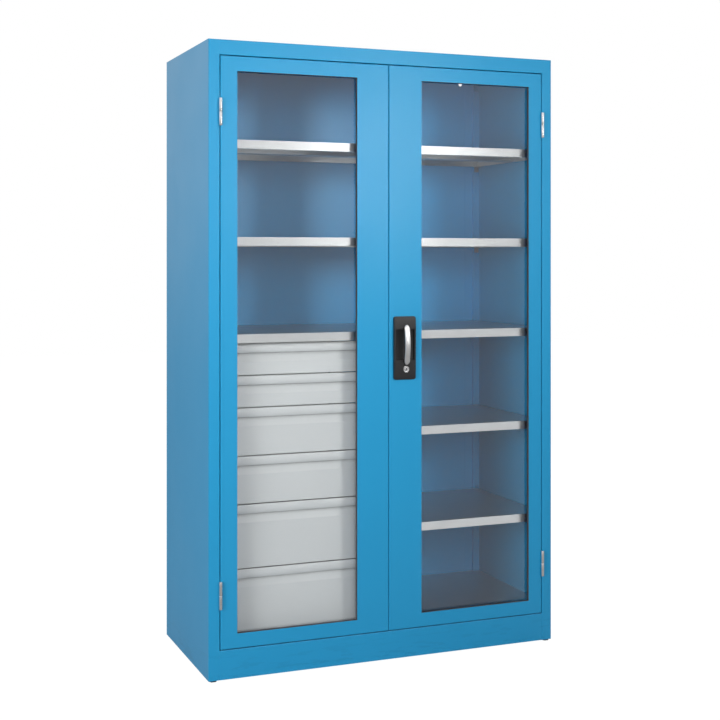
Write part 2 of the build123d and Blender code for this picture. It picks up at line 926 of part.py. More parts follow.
# Shells of the two doors
with BuildPart() as left_door_shell:
    add(make_door_shell(-door_x, -door_free_x, left_window))
left_door_shell.part.label = "left_door_shell"
export_step(left_door_shell.part, "parts/left_door_shell.step")

# The right door is cut for the handle plate, the spindle, the key cylinder and the two rods
tub_width = recess_width + 2 * recess_wall
tub_height = recess_height + 2 * recess_wall
with BuildPart() as right_door_shell:
    add(make_door_shell(door_free_x, door_x, right_window))
    with BuildSketch(facing(front_y + sheet)):
        with Locations((plate_x, recess_z)):
            Rectangle(tub_width + 2 * plate_fit, tub_height + 2 * plate_fit)
        with Locations((lock_x, lever_axis_z)):
            Rectangle(2 * (spindle_radius + recess_wall), 2 * (spindle_radius + recess_wall))
        with Locations((lock_x, cylinder_z)):
            Rectangle(2 * (barrel_radius + plate_fit), 2 * (barrel_radius + plate_fit))
    extrude(amount=sheet, mode=Mode.SUBTRACT)
    for rod_x, edge in ((upper_rod_x, door_top), (lower_rod_x, door_bottom + sheet)):
        with BuildSketch(Plane.XY.offset(edge)):
            with Locations((rod_x, rod_y)):
                Rectangle(*rod_hole)
        extrude(amount=-sheet, mode=Mode.SUBTRACT)
right_door_shell.part.label = "right_door_shell"
export_step(right_door_shell.part, "parts/right_door_shell.step")

# Glazing and hinge halves of both doors
door_sides = (("left", -1, left_window), ("right", 1, right_window))
for name, side, window in door_sides:
    with BuildPart() as door_pane:
        add(make_pane(window))
    door_pane.part.label = f"{name}_door_pane"
    export_step(door_pane.part, f"parts/{name}_door_pane.step")
    with BuildPart() as door_gasket:
        add(make_gasket(window))
    door_gasket.part.label = f"{name}_door_gasket"
    export_step(door_gasket.part, f"parts/{name}_door_gasket.step")
    with BuildPart() as door_retainer:
        add(make_retainer(window))
    door_retainer.part.label = f"{name}_door_retainer"
    export_step(door_retainer.part, f"parts/{name}_door_retainer.step")
    with BuildPart() as door_hinge_halves:
        for level in hinge_levels:
            upper_half = level + hinge_half_length + hinge_half_gap
            add(hinge_half(side, upper_half, door_x + sheet))
    door_hinge_halves.part.label = f"{name}_door_hinge_halves"
    export_step(door_hinge_halves.part, f"parts/{name}_door_hinge_halves.step")

# Handle plate: a block on the face with rounded corners and a finger recess sunk into the door
plate_y = front_y - plate_thickness
with BuildPart() as handle_plate:
    with BuildSketch(facing(front_y)):
        with Locations((plate_x, plate_bottom + plate_height / 2)):
            RectangleRounded(plate_width, plate_height, plate_corner)
    extrude(amount=plate_thickness)
    chamfer(handle_plate.faces().sort_by(Axis.Y)[0].edges(), plate_edge)
    with BuildSketch(facing(front_y + recess_floor + recess_wall)):
        with Locations((plate_x, recess_z)):
            Rectangle(tub_width, tub_height)
    extrude(amount=recess_floor + recess_wall)
    with BuildSketch(facing(front_y + recess_floor)):
        with Locations((plate_x, recess_z)):
            Rectangle(recess_width, recess_height)
    extrude(amount=recess_floor + plate_thickness, mode=Mode.SUBTRACT)
    with BuildSketch(facing(front_y + recess_floor + recess_wall)):
        with Locations((lock_x, lever_axis_z)):
            Circle(spindle_radius + spindle_fit)
        with Locations((lock_x, cylinder_z)):
            Circle(barrel_radius + spindle_fit)
    extrude(amount=recess_floor + recess_wall + plate_thickness, mode=Mode.SUBTRACT)
handle_plate.part.label = "handle_plate"
export_step(handle_plate.part, "parts/handle_plate.step")

# Lever: a bow with rounded ends, hung on the spindle at its upper end
hub_y = plate_y - lever_fit
lever_top = lever_axis_z + lever_width / 2
lever_bottom = lever_top - lever_length
lever_middle = (lever_top + lever_bottom) / 2
bow_y = hub_y - lever_bow_rise
lever_front_y = hub_y - lever_end_rise
with BuildPart() as lever_bow:
    with BuildSketch(Plane.YZ.offset(lock_x - lever_width / 2)):
        with BuildLine():
            ThreePointArc(
                (hub_y, lever_bottom),
                (bow_y, lever_middle),
                (hub_y, lever_axis_z - lever_width / 2),
            )
            Polyline(
                (hub_y, lever_axis_z - lever_width / 2),
                (hub_y, lever_top),
                (lever_front_y, lever_top),
            )
            ThreePointArc(
                (lever_front_y, lever_top),
                (bow_y - lever_thickness, lever_middle),
                (lever_front_y, lever_bottom),
            )
            Line((lever_front_y, lever_bottom), (hub_y, lever_bottom))
        make_face()
    extrude(amount=lever_width)
    with BuildSketch(facing(front_y)):
        with Locations((lock_x, lever_middle)):
            SlotOverall(lever_length, lever_width, rotation=90)
    extrude(amount=depth, mode=Mode.INTERSECT)
    with BuildSketch(facing(hub_y)):
        with Locations((lock_x, lever_axis_z)):
            Circle(spindle_radius)
    extrude(amount=spindle_seat, mode=Mode.SUBTRACT)
lever_bow.part.label = "lever_bow"
export_step(lever_bow.part, "parts/lever_bow.step")

# Spindle from the lever back to the cam
cam_back = door_depth + cam_gap + cam_thickness
with BuildPart() as lock_spindle:
    with BuildSketch(facing(front_y + cam_back)):
        with Locations((lock_x, lever_axis_z)):
            Circle(spindle_radius)
    extrude(amount=cam_back + plate_thickness + lever_fit + spindle_seat)
lock_spindle.part.label = "lock_spindle"
export_step(lock_spindle.part, "parts/lock_spindle.step")

# Involute pinion. Each flank is drawn from its base circle to the tip circle.
base_radius = pitch_radius * cos(pressure_angle)
tip_radius = pitch_radius + tooth_module
root_radius = pitch_radius - tooth_root
half_tooth = pi / 2 / tooth_count - tooth_backlash / 4 / pitch_radius
involute_at_pitch = tan(pressure_angle) - pressure_angle


def flank_angle(radius):
    """Half angle of a pinion tooth at a radius."""
    roll = acos(base_radius / radius)
    return half_tooth + involute_at_pitch - (tan(roll) - roll)


def pinion_outline():
    """Corner points round the pinion, with the tooth count of copies of one tooth."""
    radii = [base_radius + (tip_radius - base_radius) * n / flank_steps
             for n in range(flank_steps + 1)]
    flank = [(root_radius, flank_angle(base_radius))]
    flank += [(radius, flank_angle(radius)) for radius in radii]
    tooth = [(radius, -angle) for radius, angle in flank] + flank[::-1]
    points = []
    for n in range(tooth_count):
        turn = 2 * pi * n / tooth_count
        points += [(radius * cos(turn + angle), radius * sin(turn + angle))
                   for radius, angle in tooth]
    return points


with BuildPart() as lock_pinion:
    with BuildSketch(facing(front_y + rod_setback + rod_thickness)):
        with Locations((lock_x, lever_axis_z)):
            Polygon(*pinion_outline(), align=None)
            Circle(spindle_radius, mode=Mode.SUBTRACT)
    extrude(amount=rod_thickness)
lock_pinion.part.label = "lock_pinion"
export_step(lock_pinion.part, "parts/lock_pinion.step")

# Flat rods with a rack at the inner end. A space between teeth faces the spindle at rest.
tooth_pitch = pi * tooth_module
rack_half = tooth_pitch / 4 - tooth_backlash / 4
tip_half = rack_half - tooth_module * tan(pressure_angle)
root_half = rack_half + tooth_root * tan(pressure_angle)


def make_rod(side, far_end, travel):
    """Rod on one side of the spindle, from its rack to its tip, drawn at rest."""
    pitch_line = lock_x + side * pitch_radius
    tips = pitch_line - side * tooth_module
    roots = pitch_line + side * tooth_root
    back = roots + side * rod_width
    rack_middle = lever_axis_z - travel * rod_throw / 2
    first = round((rack_middle - lever_axis_z) / tooth_pitch) - rack_teeth / 2 + 0.5
    near_end = rack_middle - travel * (rack_teeth + 1) * tooth_pitch / 2
    with BuildPart() as rod:
        with BuildSketch(facing(front_y + rod_setback + rod_thickness)):
            with Locations(((roots + back) / 2, (near_end + far_end) / 2)):
                Rectangle(rod_width, abs(far_end - near_end))
            for n in range(rack_teeth):
                z = lever_axis_z + (first + n) * tooth_pitch
                with BuildLine():
                    Polyline(
                        (roots, z - root_half),
                        (tips, z - tip_half),
                        (tips, z + tip_half),
                        (roots, z + root_half),
                        close=True,
                    )
                make_face()
        extrude(amount=rod_thickness)
    return rod.part


with BuildPart() as upper_rod:
    add(make_rod(1, door_top - rod_tip_setback, 1))
upper_rod.part.label = "upper_rod"
export_step(upper_rod.part, "parts/upper_rod.step")

with BuildPart() as lower_rod:
    add(make_rod(-1, door_bottom + rod_tip_setback, -1))
lower_rod.part.label = "lower_rod"
export_step(lower_rod.part, "parts/lower_rod.step")

# Lock case: an open channel on four standoffs that carries the spindle behind the rods
case_y = front_y + case_setback
case_z = lever_axis_z + (standoff_pitch - case_height) / 2 + standoff_inset
standoff_z = case_z + case_height / 2 - standoff_inset
standoff_seats = ((standoff_z, sheet), (standoff_z - standoff_pitch, recess_floor + recess_wall))
with BuildPart() as lock_case:
    with BuildSketch(facing(case_y + case_wall)):
        with Locations((lock_x, case_z)):
            Rectangle(case_width, case_height)
        with Locations((lock_x, lever_axis_z)):
            Circle(spindle_radius + spindle_fit, mode=Mode.SUBTRACT)
    extrude(amount=case_wall)
    with BuildSketch(facing(case_y + case_depth)):
        for side in (-1, 1):
            with Locations((lock_x + side * (case_width - case_wall) / 2, case_z)):
                Rectangle(case_wall, case_height)
    extrude(amount=case_depth)
    for z, seat in standoff_seats:
        with BuildSketch(facing(case_y)):
            with Locations((lock_x, z)):
                with GridLocations(case_width - 2 * standoff_inset, 0, 2, 1):
                    Rectangle(standoff_width, standoff_width)
        extrude(amount=case_setback - seat)
lock_case.part.label = "lock_case"
export_step(lock_case.part, "parts/lock_case.step")

# Guides that hold the rods to the door skin
guide_depth = rod_setback + rod_thickness + rod_guide_wall / 2
guide_levels = ((upper_rod_x, (lever_axis_z + 150, door_top - 200)),
                (lower_rod_x, (plate_bottom - 60, door_bottom + 200)))
with BuildPart() as rod_guides:
    for guide_x, levels in guide_levels:
        for level in levels:
            with BuildSketch(Plane.XY.offset(level)):
                with Locations((guide_x, front_y + sheet)):
                    Rectangle(rod_width + 2 * rod_guide_wall, guide_depth - sheet,
                              align=(Align.CENTER, Align.MIN))
                with Locations((guide_x, rod_y)):
                    Rectangle(*rod_hole, mode=Mode.SUBTRACT)
            extrude(amount=rod_guide_height)
rod_guides.part.label = "rod_guides"
export_step(rod_guides.part, "parts/rod_guides.step")

# Keeper plates that stiffen the frame round the two rod holes
with BuildPart() as rod_keepers:
    for keeper_x, level, rise in ((upper_rod_x, rail_bottom + sheet, 1),
                                  (lower_rod_x, plinth_top - sheet, -1)):
        with BuildSketch(Plane.XY.offset(level)):
            with Locations((keeper_x, rod_y)):
                Rectangle(keeper_width, stile_depth / 2)
                Rectangle(*rod_hole, mode=Mode.SUBTRACT)
        extrude(amount=rise * keeper_thickness)
rod_keepers.part.label = "rod_keepers"
export_step(rod_keepers.part, "parts/rod_keepers.step")

# Cam: an upright arm at rest, turned with the lever to reach behind the left door
with BuildPart() as latch_cam:
    with BuildSketch(facing(front_y + cam_back)):
        with Locations((lock_x, lever_axis_z)):
            Circle(cam_hub_radius)
        with Locations((lock_x, lever_axis_z + cam_reach - cam_tip_radius)):
            Circle(cam_tip_radius)
        make_hull()
        with Locations((lock_x, lever_axis_z)):
            Circle(spindle_radius, mode=Mode.SUBTRACT)
    extrude(amount=cam_thickness)
latch_cam.part.label = "latch_cam"
export_step(latch_cam.part, "parts/latch_cam.step")

# Key cylinder: a barrel, and a plug with a keyhole at its front and a tail behind
barrel_length = barrel_end + plate_thickness + barrel_proud
with BuildPart() as lock_cylinder:
    with BuildSketch(facing(front_y + barrel_end)):
        with Locations((lock_x, cylinder_z)):
            Circle(barrel_radius)
            Circle(plug_radius + plug_fit, mode=Mode.SUBTRACT)
    extrude(amount=barrel_length)
lock_cylinder.part.label = "lock_cylinder"
export_step(lock_cylinder.part, "parts/lock_cylinder.step")

plug_front = plate_y - barrel_proud - plug_proud
tail_back = rod_setback + rod_thickness + tail_gap + tail_thickness
with BuildPart() as lock_plug:
    with BuildSketch(facing(front_y + tail_back)):
        with Locations((lock_x, cylinder_z)):
            Circle(plug_radius)
    extrude(amount=front_y + tail_back - plug_front)
    with BuildSketch(facing(front_y + tail_back)):
        with Locations((lock_x, cylinder_z)):
            Rectangle(tail_width, tail_reach, align=(Align.CENTER, Align.MAX))
    extrude(amount=tail_thickness)
    with BuildSketch(facing(plug_front)):
        with Locations((lock_x, cylinder_z)):
            Rectangle(keyhole_width, keyhole_height)
    extrude(amount=-keyhole_depth, mode=Mode.SUBTRACT)
lock_plug.part.label = "lock_plug"
export_step(lock_plug.part, "parts/lock_plug.step")

# Rubber buffers on the front flange of the floor, just behind the doors
buffer_length = floor_setback - door_depth - buffer_gap
buffer_z = (door_bottom + floor_top - fold_radius) / 2
with BuildPart() as door_buffers:
    with BuildSketch(facing(floor_y)):
        for middle in (-door_x + buffer_inset, -buffer_inset, buffer_inset, door_x - buffer_inset):
            with Locations((middle, buffer_z)):
                Rectangle(buffer_width, buffer_width)
    extrude(amount=buffer_length)
door_buffers.part.label = "door_buffers"
export_step(door_buffers.part, "parts/door_buffers.step")

print("rod throw", round(rod_throw, 2), "shelf tops",
      [round(top, 1) for top in (*full_shelf_tops.values(), *half_shelf_tops.values())])
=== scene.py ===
# %% [markdown]
# # A glazed steel storage cabinet
# This lesson dresses a folded-steel cabinet that has two glazed doors, five shelves, six drawers
# and a lever handle. The exact shapes come in as a fixed frame, one object per physical piece, in
# metres. Nothing in that frame is moved. Each piece gets a finish, and the few pieces whose looks
# need softer forms are modelled again in their place.

# %% Load the frame
import json
import math
import bpy
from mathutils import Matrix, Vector


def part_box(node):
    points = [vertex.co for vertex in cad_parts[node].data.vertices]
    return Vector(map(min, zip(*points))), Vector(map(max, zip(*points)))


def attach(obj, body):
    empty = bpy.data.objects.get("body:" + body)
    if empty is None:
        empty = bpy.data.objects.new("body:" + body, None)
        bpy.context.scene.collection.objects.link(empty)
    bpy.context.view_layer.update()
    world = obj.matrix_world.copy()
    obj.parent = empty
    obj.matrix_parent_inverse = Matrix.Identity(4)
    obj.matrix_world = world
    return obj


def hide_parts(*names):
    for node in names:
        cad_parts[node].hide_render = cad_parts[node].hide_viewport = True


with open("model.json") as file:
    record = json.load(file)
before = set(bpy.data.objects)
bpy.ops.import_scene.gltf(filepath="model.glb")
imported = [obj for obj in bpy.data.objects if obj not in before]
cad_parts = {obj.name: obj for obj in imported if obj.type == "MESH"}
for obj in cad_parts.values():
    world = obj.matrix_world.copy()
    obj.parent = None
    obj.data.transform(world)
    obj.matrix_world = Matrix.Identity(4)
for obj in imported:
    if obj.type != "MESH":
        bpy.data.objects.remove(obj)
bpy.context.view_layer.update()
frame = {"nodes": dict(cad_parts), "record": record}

nodes = frame["nodes"]
front_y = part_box("plinth_panel")[0].y
print("nodes:", len(nodes), "front plane:", round(front_y, 4))

# %% [markdown]
# Every operator in Blender works on whatever is selected, and the frame arrives selected. So each
# piece starts from an empty selection, and the first piece named becomes the active one.

# %% Selecting whole pieces


def clear_selection():
    if bpy.context.object and bpy.context.object.mode != "OBJECT":
        bpy.ops.object.mode_set(mode="OBJECT")
    bpy.ops.object.select_all(action="DESELECT")


def select_only(*pieces):
    clear_selection()
    for piece in pieces:
        piece.select_set(True)
    bpy.context.view_layer.objects.active = pieces[0]


clear_selection()
print("selected:", len(bpy.context.selected_objects))

# %% [markdown]
# The camera stands where the photographer stood: to the left of the cabinet, a little above the
# middle of its height, and held level. A level camera keeps the upright edges parallel, and the
# picture is then framed by shifting the lens, as with an architect's camera.

# %% Camera
camera_place = (-1.665358, -3.801119, 1.294871)
level_pitch, turn_to_right = math.radians(90), 0.355
camera_data = bpy.data.cameras.new("studio_camera")
camera = bpy.data.objects.new("studio_camera", camera_data)
bpy.context.scene.collection.objects.link(camera)
camera.location = camera_place
camera.rotation_euler = (level_pitch, 0, -turn_to_right)
camera_data.lens = 61.387
camera_data.sensor_width = 36
camera_data.shift_x, camera_data.shift_y = 0.1001, -0.1459
camera_data.clip_end = 60
bpy.context.scene.camera = camera
bpy.context.scene.view_settings.view_transform = "Standard"
print("lens", camera_data.lens)

# %% [markdown]
# The world, the floor and every finish are graphs of nodes. These helpers add a node and wire it
# in one line. A value may come in as a number or as another node's output.

# %% Node helpers


def feed(tree, socket, value):
    """Set a socket to a number, or wire another node's output to it."""
    if isinstance(value, (int, float)):
        socket.default_value = value
    else:
        tree.links.new(value, socket)


def math_node(tree, operation, a, b, clamp=False):
    node = tree.nodes.new("ShaderNodeMath")
    node.operation = operation
    node.use_clamp = clamp
    feed(tree, node.inputs[0], a)
    feed(tree, node.inputs[1], b)
    return node.outputs[0]


def map_range(tree, value, low, high, start=0.0, end=1.0, curve="LINEAR"):
    """Carry the range from start to end over to the range from low to high."""
    node = tree.nodes.new("ShaderNodeMapRange")
    node.interpolation_type = curve
    tree.links.new(value, node.inputs["Value"])
    limits = {"From Min": start, "From Max": end, "To Min": low, "To Max": high}
    for label, number in limits.items():
        node.inputs[label].default_value = number
    return node.outputs["Result"]


def upward_part(tree, vector):
    """The Z part of a place, a direction or a normal."""
    node = tree.nodes.new("ShaderNodeSeparateXYZ")
    tree.links.new(vector, node.inputs[0])
    return node.outputs["Z"]


# %% [markdown]
# Light Path tells which kind of ray asks for a colour, so one surface can look white to the camera
# and still light the cabinet only softly. The world, the floor and the glass all need that split.

# %% Ray kinds


def ray_mask(tree, *kinds):
    """1 for the named kinds of ray, and 0 for the others."""
    path = tree.nodes.new("ShaderNodeLightPath")
    mask = path.outputs[kinds[0]]
    for kind in kinds[1:]:
        mask = math_node(tree, "MAXIMUM", mask, path.outputs[kind])
    return mask


def mix_shaders(tree, share, first, second):
    """Mix two shader nodes, where share is the part of the second one."""
    node = tree.nodes.new("ShaderNodeMixShader")
    feed(tree, node.inputs["Fac"], share)
    tree.links.new(first.outputs[0], node.inputs[1])
    tree.links.new(second.outputs[0], node.inputs[2])
    return node.outputs[0]


def empty_tree(owner):
    owner.use_nodes = True
    owner.node_tree.nodes.clear()
    return owner.node_tree


# %% [markdown]
# A catalogue picture stands on white. The world is white to the camera and through glass. What
# mirrors the studio sees it white above and darker towards the floor, which gives the side wall
# more sheen at its top than at its foot. All other rays meet a weak, slightly cool sky.

# %% World
horizon_grey, horizon_blur = 0.38, 0.12

world = bpy.data.worlds.new("studio_world")
bpy.context.scene.world = world
sky = empty_tree(world)
ambient = sky.nodes.new("ShaderNodeBackground")
ambient.inputs["Color"].default_value = (0.93, 0.96, 1.0, 1)
ambient.inputs["Strength"].default_value = 0.26
backdrop = sky.nodes.new("ShaderNodeBackground")
direction = sky.nodes.new("ShaderNodeTexCoord")
rise = map_range(sky, upward_part(sky, direction.outputs["Generated"]), horizon_grey, 1.0,
                 -horizon_blur, horizon_blur, "SMOOTHSTEP")
seen_white = ray_mask(sky, "Is Camera Ray", "Is Transmission Ray")
sky.links.new(math_node(sky, "MAXIMUM", rise, seen_white), backdrop.inputs["Color"])
backdrop_rays = ray_mask(sky, "Is Camera Ray", "Is Glossy Ray", "Is Transmission Ray")
sky_out = sky.nodes.new("ShaderNodeOutputWorld")
sky.links.new(mix_shaders(sky, backdrop_rays, ambient, backdrop), sky_out.inputs["Surface"])
print("world nodes", len(sky.nodes))

# %% [markdown]
# To the camera and through glass the floor is nine parts white and one part real paper, and that
# part keeps the shadow at the feet. In a mirror it has the grey of the horizon, so that no line
# shows where the floor ends.

# %% Floor
paper_colour, white_share, white_strength = (0.62, 0.62, 0.63, 1), 0.9, 1.1

floor_material = bpy.data.materials.new("studio_floor")
ground = empty_tree(floor_material)
paper = ground.nodes.new("ShaderNodeBsdfDiffuse")
paper.inputs["Color"].default_value = paper_colour
lit = ground.nodes.new("ShaderNodeEmission")
seen = ray_mask(ground, "Is Camera Ray", "Is Transmission Ray")
ground.links.new(map_range(ground, seen, horizon_grey, white_strength), lit.inputs["Strength"])
lit_share = math_node(ground, "MAXIMUM", math_node(ground, "MULTIPLY", seen, white_share),
                      ray_mask(ground, "Is Glossy Ray"))
ground_out = ground.nodes.new("ShaderNodeOutputMaterial")
ground.links.new(mix_shaders(ground, lit_share, paper, lit), ground_out.inputs["Surface"])

bpy.ops.mesh.primitive_plane_add(size=24, location=(0, 0, 0))
floor = bpy.context.object
floor.name = "studio_floor"
floor.data.materials.append(floor_material)
clear_selection()
print("floor", floor.dimensions[:2])

# %% [markdown]
# The photograph has one strong soft light, high and to the right. The stiles throw shadows to the
# left on the shelf edges, and a soft dark band on the back wall. The key lamp is that light. A
# broad lamp beside the camera lights the inside, since the camera can't see the shadows that it
# makes. A wide one on the left lights the side wall, and one behind does the same for the back
# and the roof. These four are hidden from mirrors and glass. The narrow glint isn't: it brightens
# the edges of zinc and steel, and its mirror image falls between the windows.

# %% Lamps


def lamp(name, place, aim, size, beam, power, colour):
    """A rectangular lamp that looks at a point, with its beam's spread in degrees."""
    data = bpy.data.lights.new(name, "AREA")
    data.shape = "RECTANGLE"
    data.size, data.size_y = size
    data.spread = math.radians(beam)
    data.energy = power
    data.color = colour
    stand = bpy.data.objects.new(name, data)
    stand.location = place
    stand.rotation_euler = (Vector(aim) - Vector(place)).to_track_quat("-Z", "Y").to_euler()
    bpy.context.scene.collection.objects.link(stand)
    return stand


warm, white, cool = (1.0, 0.99, 0.97), (1.0, 1.0, 1.0), (0.97, 0.985, 1.0)
key = lamp("key_lamp", (1.14, -3.25, 1.95), (-0.6, front_y, 1.55), (0.7, 0.8), 80, 11, warm)
glint = lamp("glint_lamp", (1.26, -2.93, 1.88), (-0.25, front_y, 1.6), (0.3, 0.8), 90, 1.9, warm)
front = lamp("front_lamp", (-1.2, -4.9, 1.9), (0.0, front_y, 1.3), (2.4, 1.8), 120, 28, white)
fill = lamp("fill_lamp", (-3.8, -2.4, 1.3), (-0.4, 0.0, 1.0), (2.0, 1.6), 120, 53, cool)
rear = lamp("rear_lamp", (2.4, 3.8, 3.6), (0.1, 0.0, 1.2), (2.4, 2.4), 120, 90, cool)
for broad in (key, front, fill, rear):
    broad.visible_glossy = False
    broad.visible_transmission = False
print("lamps", key.data.energy, glint.data.energy)

# %% [markdown]
# An effect that several finishes share is made once, as a node group with named inputs and
# outputs. The groups read Object coordinates, in metres, so the grain has the same real size on a
# shelf and on a door.

# %% Node group helpers


def new_group(name, inputs, outputs):
    group = bpy.data.node_groups.new(name, "ShaderNodeTree")
    for label, value in inputs:
        socket = group.interface.new_socket(label, in_out="INPUT", socket_type="NodeSocketFloat")
        socket.default_value = value
    for label in outputs:
        group.interface.new_socket(label, in_out="OUTPUT", socket_type="NodeSocketFloat")
    return group, group.nodes.new("NodeGroupInput"), group.nodes.new("NodeGroupOutput")


def noise(tree, vector, scale, detail, roughness):
    node = tree.nodes.new("ShaderNodeTexNoise")
    tree.links.new(vector, node.inputs["Vector"])
    feed(tree, node.inputs["Scale"], scale)
    node.inputs["Detail"].default_value = detail
    node.inputs["Roughness"].default_value = roughness
    return node.outputs["Fac"]


def object_coordinates(tree):
    return tree.nodes.new("ShaderNodeTexCoord").outputs["Object"]


# %% [markdown]
# Powder coat is sprayed as dry powder and melted in an oven. It flows almost flat but keeps a
# faint orange-peel ripple, and its gloss varies a little across a sheet. One group gives both: the
# ripple as a height, and the slow change as a cloud.

# %% Orange peel
orange_peel, peel_in, peel_out = new_group(
    "orange_peel", [("Scale", 900.0), ("Cloud Scale", 6.0)], ["Height", "Cloud"])
peel_place = object_coordinates(orange_peel)
ripple = noise(orange_peel, peel_place, peel_in.outputs["Scale"], 2.0, 0.55)
cloud = noise(orange_peel, peel_place, peel_in.outputs["Cloud Scale"], 3.0, 0.5)
orange_peel.links.new(ripple, peel_out.inputs["Height"])
orange_peel.links.new(cloud, peel_out.inputs["Cloud"])
print("group", orange_peel.name)

# %% [markdown]
# Dust settles on faces that look up. The mask is the upward part of the normal, broken up by
# noise. It is weak here, since the cabinet is new, but without it a wide shelf looks like a single
# flat colour.

# %% Dust
dust, dust_in, dust_out = new_group("settled_dust", [("Amount", 0.3), ("Scale", 30.0)], ["Mask"])
surface = dust.nodes.new("ShaderNodeNewGeometry")
facing_up = math_node(dust, "MULTIPLY", upward_part(dust, surface.outputs["Normal"]), 1.0,
                      clamp=True)
speckle = noise(dust, object_coordinates(dust), dust_in.outputs["Scale"], 4.0, 0.62)
settled = math_node(dust, "MULTIPLY", facing_up, speckle)
dust.links.new(math_node(dust, "MULTIPLY", settled, dust_in.outputs["Amount"], clamp=True),
               dust_out.inputs["Mask"])
print("group", dust.name)

# %% [markdown]
# Shoes and brooms touch the lowest part of a cabinet. This mask is a ragged band near the floor,
# made of noise that is squeezed in height, and it fades out at the height called Reach.

# %% Scuffs near the floor
streak_stretch, streak_edge = (9.0, 9.0, 60.0), 0.56

scuffs, scuffs_in, scuffs_out = new_group(
    "low_scuffs", [("Amount", 0.25), ("Reach", 0.12)], ["Mask"])
scuff_place = object_coordinates(scuffs)
height_share = math_node(scuffs, "DIVIDE", upward_part(scuffs, scuff_place),
                         scuffs_in.outputs["Reach"])
low = math_node(scuffs, "SUBTRACT", 1.0, height_share, clamp=True)
stretch = scuffs.nodes.new("ShaderNodeMapping")
stretch.inputs["Scale"].default_value = streak_stretch
scuffs.links.new(scuff_place, stretch.inputs["Vector"])
streaks = noise(scuffs, stretch.outputs[0], 1.0, 5.0, 0.7)
ragged = math_node(scuffs, "MULTIPLY", math_node(scuffs, "GREATER_THAN", streaks, streak_edge),
                   streaks)
worn = math_node(scuffs, "MULTIPLY", math_node(scuffs, "MULTIPLY", low, ragged),
                 scuffs_in.outputs["Amount"], clamp=True)
scuffs.links.new(worn, scuffs_out.inputs["Mask"])
print("group", scuffs.name)

# %% [markdown]
# Bright metal parts are rolled, drawn or brushed, which leaves fine parallel lines. The lines come
# from noise that is stretched along one axis. Zinc plating adds a faint cloud of lighter and
# darker crystals on top.

# %% Drawn metal lines
drawn_lines, lines_in, lines_out = new_group(
    "drawn_lines", [("Across", 2600.0), ("Along", 30.0), ("Cloud Scale", 55.0)],
    ["Lines", "Cloud"])
line_place = object_coordinates(drawn_lines)
line_scale = drawn_lines.nodes.new("ShaderNodeCombineXYZ")
for axis, label in (("X", "Along"), ("Y", "Across"), ("Z", "Across")):
    drawn_lines.links.new(lines_in.outputs[label], line_scale.inputs[axis])
stretched = drawn_lines.nodes.new("ShaderNodeVectorMath")
stretched.operation = "MULTIPLY"
drawn_lines.links.new(line_place, stretched.inputs[0])
drawn_lines.links.new(line_scale.outputs[0], stretched.inputs[1])
drawn_lines.links.new(noise(drawn_lines, stretched.outputs[0], 1.0, 2.0, 0.6),
                      lines_out.inputs["Lines"])
drawn_lines.links.new(noise(drawn_lines, line_place, lines_in.outputs["Cloud Scale"], 3.0, 0.6),
                      lines_out.inputs["Cloud"])
print("group", drawn_lines.name)

# %% [markdown]
# A material here is one Principled shader. Small builders fill its sockets: values that are the
# same all over go straight on the shader, and only what varies comes in through a link.

# %% Material helpers


def new_material(name):
    material = bpy.data.materials.new(name)
    material.use_nodes = True
    tree = material.node_tree
    return material, tree, tree.nodes["Principled BSDF"]


def use_group(tree, group, **values):
    node = tree.nodes.new("ShaderNodeGroup")
    node.node_tree = group
    for label, value in values.items():
        node.inputs[label.replace("_", " ")].default_value = value
    return node


def blend_colours(tree, factor, first, second):
    """Mix two colours, where either may be a colour or an output socket."""
    node = tree.nodes.new("ShaderNodeMix")
    node.data_type = "RGBA"
    tree.links.new(factor, node.inputs[0])
    for socket, value in ((node.inputs[6], first), (node.inputs[7], second)):
        if isinstance(value, tuple):
            socket.default_value = (*value, 1)
        else:
            tree.links.new(value, socket)
    return node.outputs[2]


def add_bump(tree, shader, height, strength, distance):
    node = tree.nodes.new("ShaderNodeBump")
    node.inputs["Strength"].default_value = strength
    node.inputs["Distance"].default_value = distance
    tree.links.new(height, node.inputs["Height"])
    tree.links.new(node.outputs["Normal"], shader.inputs["Normal"])


# %% [markdown]
# Shade is painted into narrow grooves: the finger grooves and the gaps between the drawers are
# made darker than the lamps alone make them. Cycles can tell how closed in a point is, and that
# makes the mask.

# %% Painted shade in grooves


def closed_in(tree, reach, open_above=0.82, closed_below=0.55):
    """0 where a surface is open, rising to 1 in corners narrower than the reach."""
    node = tree.nodes.new("ShaderNodeAmbientOcclusion")
    node.samples = 8
    node.inputs["Distance"].default_value = reach
    return map_range(tree, node.outputs["AO"], 0.0, 1.0, open_above, closed_below)


def darker(colour, share):
    return tuple(part * share for part in colour)


# %% [markdown]
# The cabinet has one blue coat outside, a lighter and cleaner blue on the walls and posts inside,
# and a light grey on the drawers. The lighter inside blue is painted light for the inside of the
# cabinet. They are one recipe with different colours. It lays the cloud, the dust and the scuffs
# over the paint in that order, as they come in real life, and then painted shade in the grooves.

# %% Powder coats
satin_low, satin_high, specular_level = 0.30, 0.40, 0.42
scuff_shade, painted_groove_shade = 0.45, 0.12
ripple_strength, ripple_height = 0.10, 0.00035


